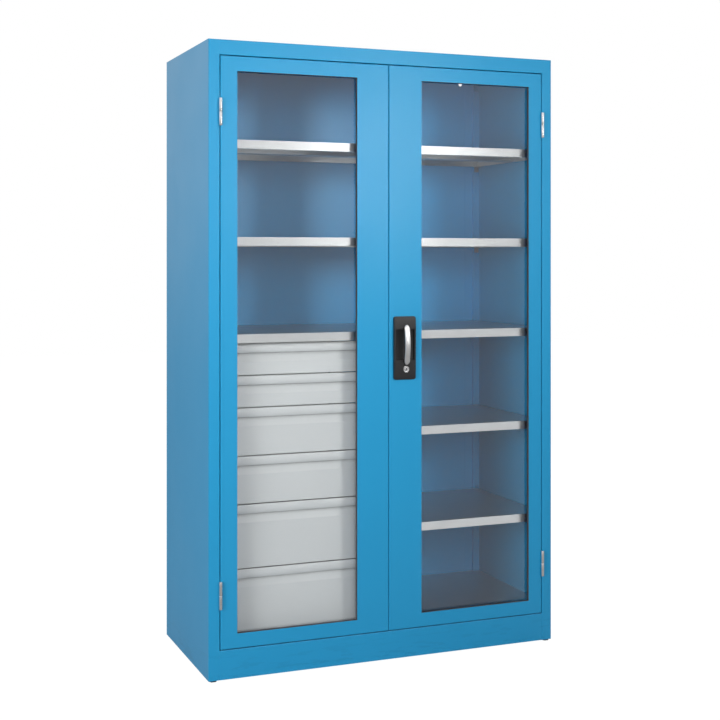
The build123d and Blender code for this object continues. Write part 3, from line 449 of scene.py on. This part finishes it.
def powder_coat(name, light, dark, dirt, groove_reach=0.0):
    """Sprayed paint: a slow cloud between two near colours, a fine ripple, dust and scuffs."""
    material, tree, shader = new_material(name)
    peel = use_group(tree, orange_peel, Scale=900.0, Cloud_Scale=5.0)
    dusty = use_group(tree, dust, Amount=0.16, Scale=26.0)
    scuffed = use_group(tree, scuffs, Amount=0.35, Reach=0.11)
    paint = blend_colours(tree, peel.outputs["Cloud"], light, dark)
    paint = blend_colours(tree, dusty.outputs["Mask"], paint, dirt)
    paint = blend_colours(tree, scuffed.outputs["Mask"], paint, darker(dark, scuff_shade))
    # Painted shade: grooves narrower than groove_reach get a darker colour.
    if groove_reach:
        groove_shade_mask = closed_in(tree, groove_reach)
        paint = blend_colours(tree, groove_shade_mask, paint, darker(dark, painted_groove_shade))
    tree.links.new(paint, shader.inputs["Base Color"])
    rough = map_range(tree, peel.outputs["Cloud"], satin_low, satin_high)
    rough = math_node(tree, "ADD", rough, dusty.outputs["Mask"], clamp=True)
    tree.links.new(rough, shader.inputs["Roughness"])
    shader.inputs["Specular IOR Level"].default_value = specular_level
    add_bump(tree, shader, peel.outputs["Height"], ripple_strength, ripple_height)
    return material


blue_dust, grey_dust = (0.33, 0.38, 0.42), (0.45, 0.44, 0.42)
blue_coat = powder_coat("blue_powder_coat", (0.013, 0.264, 0.496), (0.011, 0.251, 0.478),
                        blue_dust)
# Painted light: the inside blue is lighter than the outside coat and stands in for light inside the
# cabinet.
lightened_inside_coat = powder_coat("inside_blue_coat_painted_light", (0.036, 0.320, 0.645), (0.033, 0.304, 0.620),
                          blue_dust)
# The grey coat carries painted shade in its grooves.
grey_coat = powder_coat("light_grey_powder_coat", (0.525, 0.536, 0.542), (0.487, 0.497, 0.503),
                        grey_dust, groove_reach=0.024)
print("coats", blue_coat.name, lightened_inside_coat.name, grey_coat.name)

# %% [markdown]
# All the metals here are one recipe too: a tint that wanders between two near greys, and lines
# that change the roughness and make a shallow bump. The lines run along X on sheet metal. The lever
# stands upright and is brushed along its length, so its two line scales are the other way round.

# %% Metals
line_strength, line_height = 0.12, 0.0001


def drawn_metal(name, light, dark, gloss, **scales):
    material, tree, shader = new_material(name)
    lines = use_group(tree, drawn_lines, **scales)
    dusty = use_group(tree, dust, Amount=0.12, Scale=60.0)
    tint = blend_colours(tree, lines.outputs["Cloud"], light, dark)
    tree.links.new(tint, shader.inputs["Base Color"])
    shader.inputs["Metallic"].default_value = 1.0
    rough = map_range(tree, lines.outputs["Lines"], gloss - 0.06, gloss + 0.08)
    rough = math_node(tree, "ADD", rough, dusty.outputs["Mask"], clamp=True)
    tree.links.new(rough, shader.inputs["Roughness"])
    add_bump(tree, shader, lines.outputs["Lines"], line_strength, line_height)
    return material


zinc_plate = drawn_metal("zinc_plate", (0.70, 0.71, 0.72), (0.60, 0.61, 0.63), 0.36)
bright_steel = drawn_metal("bright_steel", (0.80, 0.80, 0.80), (0.70, 0.70, 0.71), 0.26)
shelf_zinc = drawn_metal("galvanised_shelf", (0.59, 0.60, 0.61), (0.53, 0.54, 0.55), 0.29,
                         Across=900.0, Along=12.0, Cloud_Scale=22.0)
brushed_lever = drawn_metal("brushed_lever", (0.86, 0.86, 0.86), (0.78, 0.78, 0.78), 0.30,
                            Across=30.0, Along=1400.0, Cloud_Scale=40.0)
polished_zinc = drawn_metal("polished_zinc", (0.82, 0.82, 0.82), (0.74, 0.74, 0.75), 0.22,
                            Across=900.0, Along=60.0, Cloud_Scale=90.0)
foot_steel = drawn_metal("dark_foot_steel", (0.10, 0.13, 0.17), (0.07, 0.09, 0.12), 0.55)
# The shelf clips get a darker zinc than the other zinc parts.
darker_clip_zinc = drawn_metal("darker_clip_zinc", (0.34, 0.35, 0.36), (0.27, 0.28, 0.29), 0.48)
print("metals", zinc_plate.name, bright_steel.name, shelf_zinc.name, brushed_lever.name)

# %% [markdown]
# Moulded plastic and rubber have the same kind of grain as the coat, since a mould is etched to a
# fine pebble. They differ in gloss, in the size of the pebble and in how deep it is.

# %% Plastics and rubber
grain_height, moulding_dust = 0.0002, (0.30, 0.29, 0.27)


def moulded(name, light, dark, gloss, grain_scale, grain_strength):
    material, tree, shader = new_material(name)
    peel = use_group(tree, orange_peel, Scale=grain_scale, Cloud_Scale=18.0)
    dusty = use_group(tree, dust, Amount=0.1, Scale=90.0)
    tint = blend_colours(tree, peel.outputs["Cloud"], light, dark)
    tint = blend_colours(tree, dusty.outputs["Mask"], tint, moulding_dust)
    tree.links.new(tint, shader.inputs["Base Color"])
    tree.links.new(map_range(tree, peel.outputs["Height"], gloss - 0.05, gloss + 0.08),
                   shader.inputs["Roughness"])
    add_bump(tree, shader, peel.outputs["Height"], grain_strength, grain_height)
    return material


black_moulding_and_shade = moulded("black_moulding_and_shade", (0.013, 0.013, 0.014), (0.009, 0.009, 0.010),
                         0.42, 2400.0, 0.25)
nylon = moulded("natural_nylon", (0.66, 0.65, 0.60), (0.60, 0.59, 0.54), 0.45, 1500.0, 0.08)
black_rubber = moulded("black_rubber", (0.020, 0.020, 0.020), (0.014, 0.014, 0.014),
                       0.72, 1800.0, 0.15)
# The lining rubber's dark grey is partly painted shade on the window jambs.
lining_rubber_and_shade = moulded("grey_lining_rubber_and_painted_shade", (0.072, 0.066, 0.068), (0.060, 0.055, 0.057),
                        0.62, 1800.0, 0.15)
print("plastics", black_moulding_and_shade.name, nylon.name, black_rubber.name, lining_rubber_and_shade.name)

# %% [markdown]
# Clear glazing is a Principled shader with full transmission. Cycles lets no lamp light through
# such glass without caustics, so for shadow and diffuse rays the pane turns into a plain
# transparent surface with a faint tint. Otherwise the shelves behind it would be in the dark.

# %% Glass
glass_tint, smear_roughness = (0.97, 0.98, 0.98, 1), 0.03

clear_glass, glass_tree, glass_shader = new_material("clear_glass")
glass_shader.inputs["Base Color"].default_value = glass_tint
glass_shader.inputs["Transmission Weight"].default_value = 1.0
glass_shader.inputs["IOR"].default_value = 1.52
smears = use_group(glass_tree, orange_peel, Scale=60.0, Cloud_Scale=7.0)
glass_tree.links.new(map_range(glass_tree, smears.outputs["Cloud"], 0.0, smear_roughness),
                     glass_shader.inputs["Roughness"])
see_through = glass_tree.nodes.new("ShaderNodeBsdfTransparent")
see_through.inputs["Color"].default_value = glass_tint
lets_light = ray_mask(glass_tree, "Is Shadow Ray", "Is Diffuse Ray")
glass_tree.links.new(mix_shaders(glass_tree, lets_light, glass_shader, see_through),
                     glass_tree.nodes["Material Output"].inputs["Surface"])
print("glass", clear_glass.name)

# %% [markdown]
# Now each piece of the frame gets its finish. The record names a material slot for each piece, and
# one table turns slots into materials. The shelves are galvanised sheet and not paint: their tops
# mirror the dark inside of the cabinet while their front edges catch the studio. A second table
# holds the pieces whose finish differs from the rest of their slot.

# %% Finishes of the frame
slot_finish = {
    "blue_paint": blue_coat,
    "white_paint": grey_coat,
    "galvanised": shelf_zinc,
    "zinc": zinc_plate,
    "steel": bright_steel,
    "handle_plastic": black_moulding_and_shade,
    "nylon": nylon,
    "rubber": black_rubber,
    "clear_glass": clear_glass,
}
own_finish = {"base_floor": shelf_zinc, "shelf_clips": darker_clip_zinc, "levelling_feet": foot_steel}
# The walls and posts inside get the lighter blue, which is painted light.
for node in ("back_panel", "rear_post_left", "rear_post_right", "front_post_left",
             "front_post_right", "centre_divider", "drawer_housing_wall"):
    own_finish[node] = lightened_inside_coat
for part in frame["record"]["subparts"]:
    node = part["node"]
    finish = own_finish.get(node) or slot_finish[part["material_slot"]]
    nodes[node].data.materials.clear()
    nodes[node].data.materials.append(finish)

# %% [markdown]
# The pieces that follow are modelled in Blender, because a photograph shows their softer forms.
# They start from a box or a cylinder that already stands where the piece belongs, so that every
# cut and every selection can be given as a place in metres on the cabinet.

# %% Blocks and rods


def stand_in_place():
    bpy.ops.object.transform_apply(location=True, rotation=True, scale=True)


def add_block(low, high):
    """A cube stretched between two corners."""
    clear_selection()
    low, high = Vector(low), Vector(high)
    bpy.ops.mesh.primitive_cube_add(size=1, location=(low + high) / 2)
    block = bpy.context.object
    block.scale = high - low
    stand_in_place()
    return block


def add_rod(start, end, radius, sides):
    """A cylinder between two points on a line along one axis."""
    clear_selection()
    start, end = Vector(start), Vector(end)
    bpy.ops.mesh.primitive_cylinder_add(vertices=sides, radius=radius, depth=(end - start).length,
                                        location=(start + end) / 2)
    rod = bpy.context.object
    rod.rotation_mode = "QUATERNION"
    rod.rotation_quaternion = (end - start).to_track_quat("Z", "Y")
    stand_in_place()
    return rod


# %% [markdown]
# By hand, a face is picked with a click. In a script it is picked by a test, on its middle and its
# normal, or on the two ends of an edge. The test is read in object mode, and the piece is left in
# edit mode with just those parts selected, ready for an operator.

# %% Picking faces, edges and points
along_x, along_y, along_z = Vector((1, 0, 0)), Vector((0, 1, 0)), Vector((0, 0, 1))
touch = 0.0001


def start_picking(piece, kind):
    select_only(piece)
    bpy.ops.object.mode_set(mode="EDIT")
    bpy.ops.mesh.select_mode(type=kind)
    bpy.ops.mesh.select_all(action="DESELECT")
    bpy.ops.object.mode_set(mode="OBJECT")


def end_edit():
    bpy.ops.object.mode_set(mode="OBJECT")


def pick_faces(piece, wanted):
    start_picking(piece, "FACE")
    for face in piece.data.polygons:
        face.select = wanted(face.center, face.normal)
    bpy.ops.object.mode_set(mode="EDIT")


def pick_edges(piece, wanted):
    start_picking(piece, "EDGE")
    points = piece.data.vertices
    for edge in piece.data.edges:
        a, b = (points[n].co for n in edge.vertices)
        edge.select = wanted(a, b)
    bpy.ops.object.mode_set(mode="EDIT")


def pick_points(piece, wanted):
    start_picking(piece, "VERT")
    for point in piece.data.vertices:
        point.select = wanted(point.co)
    bpy.ops.object.mode_set(mode="EDIT")


def runs_along(axis, length):
    """A test for edges that cover more than this length along the axis."""
    return lambda a, b: abs((a - b).dot(axis)) > length


def lies_across(axis):
    """A test for edges that lie square to the axis."""
    return lambda a, b: abs((a - b).dot(axis)) < touch


# %% [markdown]
# Four moves make most of the shapes: cut a piece into strips, shift the points of a strip, pull a
# face out, and round some edges. With the right cuts, shifting strips bends a face smoothly.

# %% Cutting, shifting and rounding


def cut_at(piece, axis, places):
    """Cut the whole piece by planes square to an axis, and keep both sides of each cut."""
    select_only(piece)
    bpy.ops.object.mode_set(mode="EDIT")
    for place in places:
        bpy.ops.mesh.select_all(action="SELECT")
        bpy.ops.mesh.bisect(plane_co=axis * place, plane_no=axis)
    end_edit()


def levels_of(piece):
    """The heights at which the piece has points."""
    return sorted({round(point.co.z, 5) for point in piece.data.vertices})


def shift_points(piece, wanted, offset):
    pick_points(piece, wanted)
    bpy.ops.transform.translate(value=offset)
    end_edit()


def pull_out(offset):
    """Extrude the picked faces by an offset."""
    bpy.ops.mesh.extrude_region_move(TRANSFORM_OT_translate={"value": offset})


def round_edges(piece, wanted, width, segments):
    pick_edges(piece, wanted)
    bpy.ops.mesh.bevel(offset=width, offset_type="OFFSET", segments=segments, affect="EDGES")
    end_edit()


# %% [markdown]
# A modifier works on a whole piece. Bevel with an angle limit rounds what is still sharp, so that
# every edge catches a line of light, and a Boolean takes one block out of another. Both are
# applied at once, so that the mesh itself holds the shape.

# %% Modifiers, and finishing a piece


def apply_modifiers(piece):
    select_only(piece)
    for modifier in list(piece.modifiers):
        bpy.ops.object.modifier_apply(modifier=modifier.name)


def shade_by_angle(angle):
    bpy.ops.object.shade_smooth_by_angle(angle=math.radians(angle))


def soften(piece, width, segments, angle):
    """Round the edges sharper than the angle, in degrees, and shade the rest smooth."""
    bevel = piece.modifiers.new("soft_edges", "BEVEL")
    bevel.width = width
    bevel.segments = segments
    bevel.limit_method = "ANGLE"
    bevel.angle_limit = math.radians(angle)
    apply_modifiers(piece)
    shade_by_angle(angle)


def take_out(piece, cutter):
    """Cut a block out of the piece and delete the block."""
    opening = piece.modifiers.new("opening", "BOOLEAN")
    opening.operation = "DIFFERENCE"
    opening.object = cutter
    apply_modifiers(piece)
    bpy.data.objects.remove(cutter)


def merge(*pieces):
    """Join pieces into one mesh."""
    select_only(*pieces)
    bpy.ops.object.join()
    return bpy.context.object


def settle(piece, name, body, material):
    """Put a finished piece's place into its mesh, name it, paint it and let it ride on a body."""
    select_only(piece)
    stand_in_place()
    piece.name = name
    piece.data.name = name
    piece.data.materials.clear()
    piece.data.materials.append(material)
    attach(piece, body)
    clear_selection()


# %% [markdown]
# The lever sits on a black moulded cover with a finger recess. The real cover isn't a flat block:
# its face falls back towards the top and bottom, so the upper part catches the lamp and the lower
# part stays dark. The block is cut into strips first. Then the strips are moved in depth, which
# bends the face without a bend tool.

# %% Handle cover
plate_low, plate_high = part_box("handle_plate")
plate_mid_x = (plate_low.x + plate_high.x) / 2
recess_half = 0.033
recess_bottom, recess_top = plate_low.z + 0.0622, plate_low.z + 0.1608
tub_wall, plate_corner, crown = 0.002, 0.007, 0.0030

cover = add_block(plate_low, (plate_high.x, front_y, plate_high.z))
round_edges(cover, runs_along(along_y, 0.005), plate_corner, segments=5)
columns = [plate_mid_x + recess_half * part / 3 for part in range(-3, 4)]
tub_sides = [plate_mid_x - recess_half - tub_wall, plate_mid_x + recess_half + tub_wall]
cut_at(cover, along_x, columns + tub_sides)
rows = [recess_bottom - tub_wall, recess_bottom, recess_top, recess_top + tub_wall]
ends = [plate_low.z + 0.020, plate_low.z + 0.040, plate_high.z - 0.030, plate_high.z - 0.015]
cut_at(cover, along_z, rows + ends)

for level in levels_of(cover):
    beyond = max(recess_bottom - level, level - recess_top, 0)
    below = level < recess_bottom
    reach = recess_bottom - plate_low.z if below else plate_high.z - recess_top
    fall = crown * (beyond / reach) ** 2
    if fall > touch:
        shift_points(cover, lambda p: abs(p.z - level) < touch / 5
                     and p.y < plate_low.y + tub_wall / 2, (0, fall, 0))
print("cover points", len(cover.data.vertices))

# %% [markdown]
# The recess is a tub. Its outer walls are pulled out of the back of the cover, and its inside is
# pushed in from the front, narrowing a little as a moulding must to leave its mould. The floor is
# raised towards its sides into a trough, where a finger fits.

# %% Finger recess and the tub behind it
floor_taper = 0.97
trough_rises = ((3, 0.0065), (2, 0.0030), (1, 0.0008))
near = 0.0002


def in_recess(centre, margin):
    return (abs(centre.x - plate_mid_x) < recess_half + margin
            and recess_bottom - margin < centre.z < recess_top + margin)


pick_faces(cover, lambda c, n: n.y > 0.9 and in_recess(c, tub_wall))
pull_out((0, plate_high.y - front_y, 0))
end_edit()

recess_depth = plate_high.y - tub_wall - plate_low.y
recess_mid = (plate_mid_x, front_y, (recess_bottom + recess_top) / 2)
pick_faces(cover, lambda c, n: n.y < -0.9 and in_recess(c, 0))
pull_out((0, recess_depth, 0))
bpy.ops.transform.resize(value=(floor_taper, 1, floor_taper), center_override=recess_mid)
end_edit()
for part, rise in trough_rises:
    from_middle = recess_half * floor_taper * part / 3
    shift_points(cover, lambda p: abs(abs(p.x - plate_mid_x) - from_middle) < near
                 and abs(p.y - plate_low.y - recess_depth) < near
                 and recess_bottom < p.z < recess_top, (0, -rise, 0))
soften(cover, width=0.0012, segments=3, angle=32)
settle(cover, "handle_cover", "right_door", black_moulding_and_shade)
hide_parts("handle_plate")
print("cover", len(cover.data.polygons), "faces")

# %% [markdown]
# The lever is a cast bow of brushed metal with a domed section and round ends. A block is bevelled
# along its length and subdivided into rings. Each ring moves out by the height of an arc, and a
# subdivision surface then runs smoothly through all of them. The back stays flat at the top, where
# the lever is seated on its spindle.

# %% Lever
bar_low, bar_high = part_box("lever_bow")
bar_mid_x, bar_mid_y, bar_mid_z = ((a + b) / 2 for a, b in zip(bar_low, bar_high))
half_length = (bar_high.z - bar_low.z) / 2
bar_corner, ring_cuts = 0.0035, 17
bow_depth, end_fall, seat_from = 0.008, 0.0099, 0.8
end_radius, tip_share = 0.0095, 0.12
lengthwise = runs_along(along_z, 0.05)

lever = add_block(bar_low, bar_high)
round_edges(lever, lengthwise, bar_corner, segments=2)
pick_edges(lever, lengthwise)
bpy.ops.mesh.subdivide(number_cuts=ring_cuts)
end_edit()
for level in levels_of(lever):
    along = (level - bar_mid_z) / half_length
    front_fall = end_fall * along ** 2
    hollow = -bow_depth * (1 - along ** 2) if along < seat_from else 0
    on_ring = lambda p: abs(p.z - level) < touch
    shift_points(lever, lambda p: on_ring(p) and p.y < bar_mid_y, (0, front_fall, 0))
    if hollow:
        shift_points(lever, lambda p: on_ring(p) and p.y >= bar_mid_y, (0, hollow, 0))
    from_end = half_length * (1 - abs(along))
    narrow = math.sqrt(max(tip_share, 1 - (1 - min(from_end / end_radius, 1)) ** 2))
    if narrow < 1:
        pick_points(lever, on_ring)
        bpy.ops.transform.resize(value=(narrow, 1, 1),
                                 center_override=(bar_mid_x, bar_mid_y, level))
        end_edit()
rounding = lever.modifiers.new("rounding", "SUBSURF")
rounding.levels = rounding.render_levels = 2
apply_modifiers(lever)
bpy.ops.object.shade_smooth()
settle(lever, "lever_handle", "lever", brushed_lever)
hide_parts("lever_bow")
print("lever", len(lever.data.polygons), "faces")

# %% [markdown]
# The key cylinder shows as a bright ring round a turning plug. The ring starts as a rod. Two
# insets and a short push inwards leave its raised rim, and the face of the plug sits inside.

# %% Key cylinder
barrel_low, barrel_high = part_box("lock_cylinder")
plug_low, plug_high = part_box("lock_plug")
key_x = (barrel_low.x + barrel_high.x) / 2
key_z = (barrel_low.z + barrel_high.z) / 2
barrel_radius = (barrel_high.x - barrel_low.x) / 2
plug_radius = (plug_high.x - plug_low.x) / 2
rim_width, plug_gap, rim_slope, face_sink = 0.0012, 0.0003, 0.0005, 0.0015

barrel = add_rod((key_x, barrel_high.y, key_z), (key_x, barrel_low.y, key_z), barrel_radius, 48)
pick_faces(barrel, lambda c, n: n.y < -0.9)
bpy.ops.mesh.inset(thickness=rim_width)
bpy.ops.mesh.inset(thickness=barrel_radius - rim_width - plug_radius - plug_gap,
                   depth=-rim_slope)
pull_out((0, face_sink, 0))
end_edit()
soften(barrel, width=0.0003, segments=2, angle=32)
settle(barrel, "key_cylinder", "right_door", polished_zinc)
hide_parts("lock_cylinder")
print("cylinder", len(barrel.data.polygons))

# %% [markdown]
# The plug is a rod whose face is slightly raised. Its keyhole is a block with round ends that a
# Boolean takes out. A flat tail at its back stands for the driver. The thin plates that the key
# lifts can just be seen in a real keyhole. Four of them are modelled, and they are painted black
# as shade, so that the keyhole stays a dark line from a step away.

# %% Plug, keyhole and wafers
keyhole_half = Vector((0.0015, 0, 0.0046))
keyhole_front, keyhole_back, keyhole_corner = 0.002, 0.006, 0.0014
plug_rim, face_rise, tail_half, tail_length = 0.0010, 0.0002, 0.004, 0.0025
wafer_half_x, wafer_half_z = 0.0014, 0.0044
first_wafer, wafer_sheet, wafer_pitch, wafer_count = 0.0009, 0.0008, 0.0011, 4

plug = add_rod((key_x, plug_high.y, key_z), (key_x, plug_low.y, key_z), plug_radius, 40)
pick_faces(plug, lambda c, n: n.y < -0.9)
bpy.ops.mesh.inset(thickness=plug_rim)
bpy.ops.transform.translate(value=(0, -face_rise, 0))
end_edit()
cutter = add_block(Vector((key_x, plug_low.y - keyhole_front, key_z)) - keyhole_half,
                   Vector((key_x, plug_low.y + keyhole_back, key_z)) + keyhole_half)
round_edges(cutter, runs_along(along_y, 0.005), keyhole_corner, segments=4)
take_out(plug, cutter)
tail = add_block((key_x - tail_half, plug_high.y - tail_length, plug_low.z),
                 (key_x + tail_half, plug_high.y, key_z))
plug = merge(plug, tail)
soften(plug, width=0.0003, segments=2, angle=32)
settle(plug, "key_plug", "lock_plug", polished_zinc)
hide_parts("lock_plug")

wafers = []
for step in range(wafer_count):
    wafer_y = plug_low.y + first_wafer + wafer_pitch * step
    wafers.append(add_block((key_x - wafer_half_x, wafer_y, key_z - wafer_half_z),
                            (key_x + wafer_half_x, wafer_y + wafer_sheet, key_z + wafer_half_z)))
wafer_pack = merge(*wafers)
soften(wafer_pack, width=0.0001, segments=2, angle=40)
# Painted shade: the wafers take the black moulding, so the keyhole reads dark.
settle(wafer_pack, "key_wafers", "lock_plug", black_moulding_and_shade)
print("plug", len(plug.data.polygons), "wafers", len(wafer_pack.data.polygons))

# %% [markdown]
# Each hinge is a pair of knuckles on one pin. The lower knuckle belongs to the frame and carries
# the pin, and the upper one lifts off with the door. The real knuckles are turned: their rims are
# rounded and the upper one is closed by a shallow dome.

# %% Hinge knuckle
hinge_low, hinge_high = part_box("frame_hinge_halves")
knuckle_radius, knuckle_length, leaf_sheet = 0.00525, 0.042, 0.0015
rim_round, leaf_round = 0.0009, 0.0004
dome_rings = ((0.0018, 0.0006), (0.0012, 0.0002))   # inset and rise of each ring
knuckle_x = hinge_high.x - knuckle_radius
knuckle_y = hinge_low.y + knuckle_radius
leaf_front = knuckle_y + knuckle_radius * 0.8


def hinge_knuckle(side, bottom, leaf_edge, domed):
    """A knuckle with a leaf that runs back beside the door. leaf_edge is its outer face."""
    x, top = side * knuckle_x, bottom + knuckle_length
    knuckle = add_rod((x, knuckle_y, bottom), (x, knuckle_y, top), knuckle_radius, 40)
    round_edges(knuckle, lies_across(along_z), rim_round, segments=3)
    if domed:
        pick_faces(knuckle, lambda c, n: n.z > 0.99)
        for inset, rise in dome_rings:
            bpy.ops.mesh.inset(thickness=inset)
            bpy.ops.transform.translate(value=(0, 0, rise))
        end_edit()
    inner_x, outer_x = sorted((side * leaf_edge, side * (leaf_edge - leaf_sheet)))
    leaf = add_block((inner_x, leaf_front, bottom), (outer_x, hinge_high.y, top))
    round_edges(leaf, lies_across(along_z), leaf_round, segments=2)
    return merge(knuckle, leaf)


print("knuckle at", round(knuckle_x, 4), round(knuckle_y, 4))

# %% [markdown]
# There are two hinges on each side. The frame's halves and pins are one piece, and each door's
# upper halves are another, since they ride on different bodies.

# %% Hinges
pin_radius, pin_sink = 0.003, 0.001
hinge_bottoms = (hinge_low.z, hinge_high.z - 2 * knuckle_length)
door_half_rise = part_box("right_door_hinge_halves")[0].z - hinge_low.z
stile_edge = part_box("stile_right")[0].x
door_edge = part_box("right_door_shell")[1].x

frame_halves = []
for side in (-1, 1):
    for bottom in hinge_bottoms:
        pin_bottom = bottom + knuckle_length - pin_sink
        pin_top = bottom + 2 * knuckle_length - pin_sink
        frame_halves.append(hinge_knuckle(side, bottom, stile_edge, False))
        frame_halves.append(add_rod((side * knuckle_x, knuckle_y, pin_bottom),
                                    (side * knuckle_x, knuckle_y, pin_top), pin_radius, 24))
frame_hinges = merge(*frame_halves)
soften(frame_hinges, width=0.0001, segments=1, angle=60)
settle(frame_hinges, "frame_hinge_knuckles", "cabinet", polished_zinc)
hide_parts("frame_hinge_halves")
for side, door in ((-1, "left_door"), (1, "right_door")):
    door_hinges = merge(*[hinge_knuckle(side, bottom + door_half_rise, door_edge + leaf_sheet, True)
                          for bottom in hinge_bottoms])
    soften(door_hinges, width=0.0001, segments=1, angle=60)
    settle(door_hinges, f"{door}_hinge_knuckles", door, polished_zinc)
    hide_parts(f"{door}_hinge_halves")
print("hinges", len(frame_hinges.data.polygons), len(door_hinges.data.polygons))

# %% [markdown]
# A frame of folded strip holds each pane from behind, and small pan-head screws hold that frame to
# the door. One screw head is modelled at the origin and copied along the four sides. Each copy has
# its own mesh, and the copies are then joined.

# %% Screw head and copies


def add_screw_head(radius, proud):
    """A pan head with a socket, facing +Y, with its seat at the origin."""
    head = add_rod((0, 0, 0), (0, proud, 0), radius, 14)
    rim_round, rim_width, socket_depth = radius * 0.3, radius * 0.25, proud * 0.4
    round_edges(head, lambda a, b: min(a.y, b.y) > proud / 2, rim_round, segments=2)
    pick_faces(head, lambda c, n: n.y > 0.9 and c.y > proud * 0.9)
    bpy.ops.mesh.inset(thickness=rim_width)
    pull_out((0, -socket_depth, 0))
    end_edit()
    return head


def repeat(piece, offsets):
    """Copy a piece to each offset and join the copies into one mesh."""
    copies = []
    for offset in offsets:
        copy = piece.copy()
        copy.data = piece.data.copy()
        copy.location = Vector(offset)
        bpy.context.collection.objects.link(copy)
        copies.append(copy)
    bpy.data.objects.remove(piece)
    return merge(*copies)


def evenly(low, high, count):
    return [low + (high - low) * n / (count - 1) for n in range(count)]


# %% [markdown]
# The screws sit in the middle of the strip: nine up each long side and three along each short one.
# The outer ones keep clear of the corners, where the strips meet.

# %% Screws of the pane frames
screw_inset, strip_sheet, from_corner = 0.006, 0.0015, 0.05
screw_radius, screw_height = 0.0033, 0.0022
for door in ("left_door", "right_door"):
    strip_low, strip_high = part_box(f"{door}_retainer")
    seat_y = strip_low.y + strip_sheet
    left, right = strip_low.x + screw_inset, strip_high.x - screw_inset
    bottom, top = strip_low.z + screw_inset, strip_high.z - screw_inset
    places = [(x, seat_y, z) for x in (left, right)
              for z in evenly(bottom + from_corner, top - from_corner, 9)]
    places += [(x, seat_y, z) for z in (bottom, top)
               for x in evenly(left + from_corner, right - from_corner, 3)]
    pane_screws = repeat(add_screw_head(screw_radius, screw_height), places)
    shade_by_angle(40)
    settle(pane_screws, f"{door}_pane_screws", door, zinc_plate)
    print(door, "screws", len(places))

# %% [markdown]
# Two kinds of nut finish the hidden ends: a nut and washer that clamp the cam on the lever's
# spindle, and a lock nut on the stud of each levelling foot. A nut starts as a rod with six sides,
# and the corners of its faces are turned off.

# %% Nuts
washer_radius, washer_sheet, washer_round, nut_round = 0.0066, 0.0009, 0.0003, 0.0006
cam_nut_height, cam_nut_flats = 0.0036, 0.010
lock_nut_height, lock_nut_flats, lock_nut_gap, pad_flats = 0.0040, 0.013, 0.0002, 0.025


def add_nut(start, end, across_flats):
    """A hexagon nut between two points on one axis, with its corners turned off."""
    nut = add_rod(start, end, across_flats / math.sqrt(3), 6)
    axis = (Vector(end) - Vector(start)).normalized()
    round_edges(nut, lies_across(axis), nut_round, segments=2)
    return nut


spindle_low, spindle_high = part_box("lock_spindle")
cam_seat = Vector(((spindle_low.x + spindle_high.x) / 2, spindle_high.y,
                   (spindle_low.z + spindle_high.z) / 2))
nut_seat = cam_seat + along_y * washer_sheet
washer = add_rod(cam_seat, nut_seat, washer_radius, 32)
round_edges(washer, lies_across(along_y), washer_round, segments=2)
cam_nut = merge(washer, add_nut(nut_seat, nut_seat + along_y * cam_nut_height, cam_nut_flats))
shade_by_angle(32)
settle(cam_nut, "cam_nut", "lever", zinc_plate)

feet_low, feet_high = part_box("levelling_feet")
pad_half_x, pad_half_y = pad_flats / math.sqrt(3), pad_flats / 2
nut_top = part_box("foot_gussets")[0].z - lock_nut_gap
foot_nut = add_nut((0, 0, nut_top - lock_nut_height), (0, 0, nut_top), lock_nut_flats)
foot_nuts = repeat(foot_nut, [(x, y, 0) for x in (feet_low.x + pad_half_x, feet_high.x - pad_half_x)
                              for y in (feet_low.y + pad_half_y, feet_high.y - pad_half_y)])
shade_by_angle(32)
settle(foot_nuts, "foot_lock_nuts", "cabinet", zinc_plate)
print("nuts", len(cam_nut.data.polygons), len(foot_nuts.data.polygons))

# %% [markdown]
# The glass sits in a rubber channel, and the part of it that lines the opening shows as a thin
# dark line inside each window. Its dark grey is also painted shade, the shade that lies on the
# jamb. One block the size of the opening has its middle cut out by a second block.

# %% Window linings
lining_wall, pane_lap, lining_set_back = 0.0007, 0.012, 0.0010
pane_gap, overshoot = 0.0001, 0.01
door_face_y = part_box("left_door_shell")[0].y
for door in ("left_door", "right_door"):
    pane_low, pane_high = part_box(f"{door}_pane")
    low = Vector((pane_low.x + pane_lap, door_face_y + lining_set_back, pane_low.z + pane_lap))
    high = Vector((pane_high.x - pane_lap, pane_low.y - pane_gap, pane_high.z - pane_lap))
    lining = add_block(low, high)
    inward = Vector((lining_wall, -overshoot, lining_wall))
    take_out(lining, add_block(low + inward, high - inward))
    soften(lining, width=0.00015, segments=2, angle=40)
    # Painted shade: the lining's dark grey also stands for the shade on the jamb.
    settle(lining, f"{door}_window_lining", door, lining_rubber_and_shade)
    print(door, "lining", len(lining.data.polygons))

# %% [markdown]
# The plinth panel and the rail above the doors stand between the stiles. The joints at their ends
# are filled and rubbed down before painting, so that they hardly show. The filling is a thin bead
# of paint colour in each joint. The one at the lower right is left a little low, as a fine dark
# line.

# %% Filled joints
joint_lap, joint_reach, joint_depth = 0.001, 0.0018, 0.003
rail_trim, flush, low_filling = 0.004, 0.0002, 0.0011
plinth_low, plinth_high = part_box("plinth_panel")
plinth_span = (plinth_low.z, plinth_high.z)
rail_span = (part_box("left_door_shell")[1].z + rail_trim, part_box("top_panel")[1].z - rail_trim)
fillings = []
for side, (bottom, top), set_back in ((-1, plinth_span, flush), (1, plinth_span, low_filling),
                                      (-1, rail_span, flush), (1, rail_span, flush)):
    left, right = sorted((side * (plinth_high.x - joint_lap),
                          side * (plinth_high.x + joint_reach)))
    fillings.append(add_block((left, front_y + set_back, bottom),
                              (right, front_y + joint_depth, top)))
joint_fillings = merge(*fillings)
soften(joint_fillings, width=0.0002, segments=2, angle=40)
settle(joint_fillings, "joint_fillings", "cabinet", blue_coat)
print("fillings", len(joint_fillings.data.polygons))

# %% [markdown]

# %% End
print("scene built")
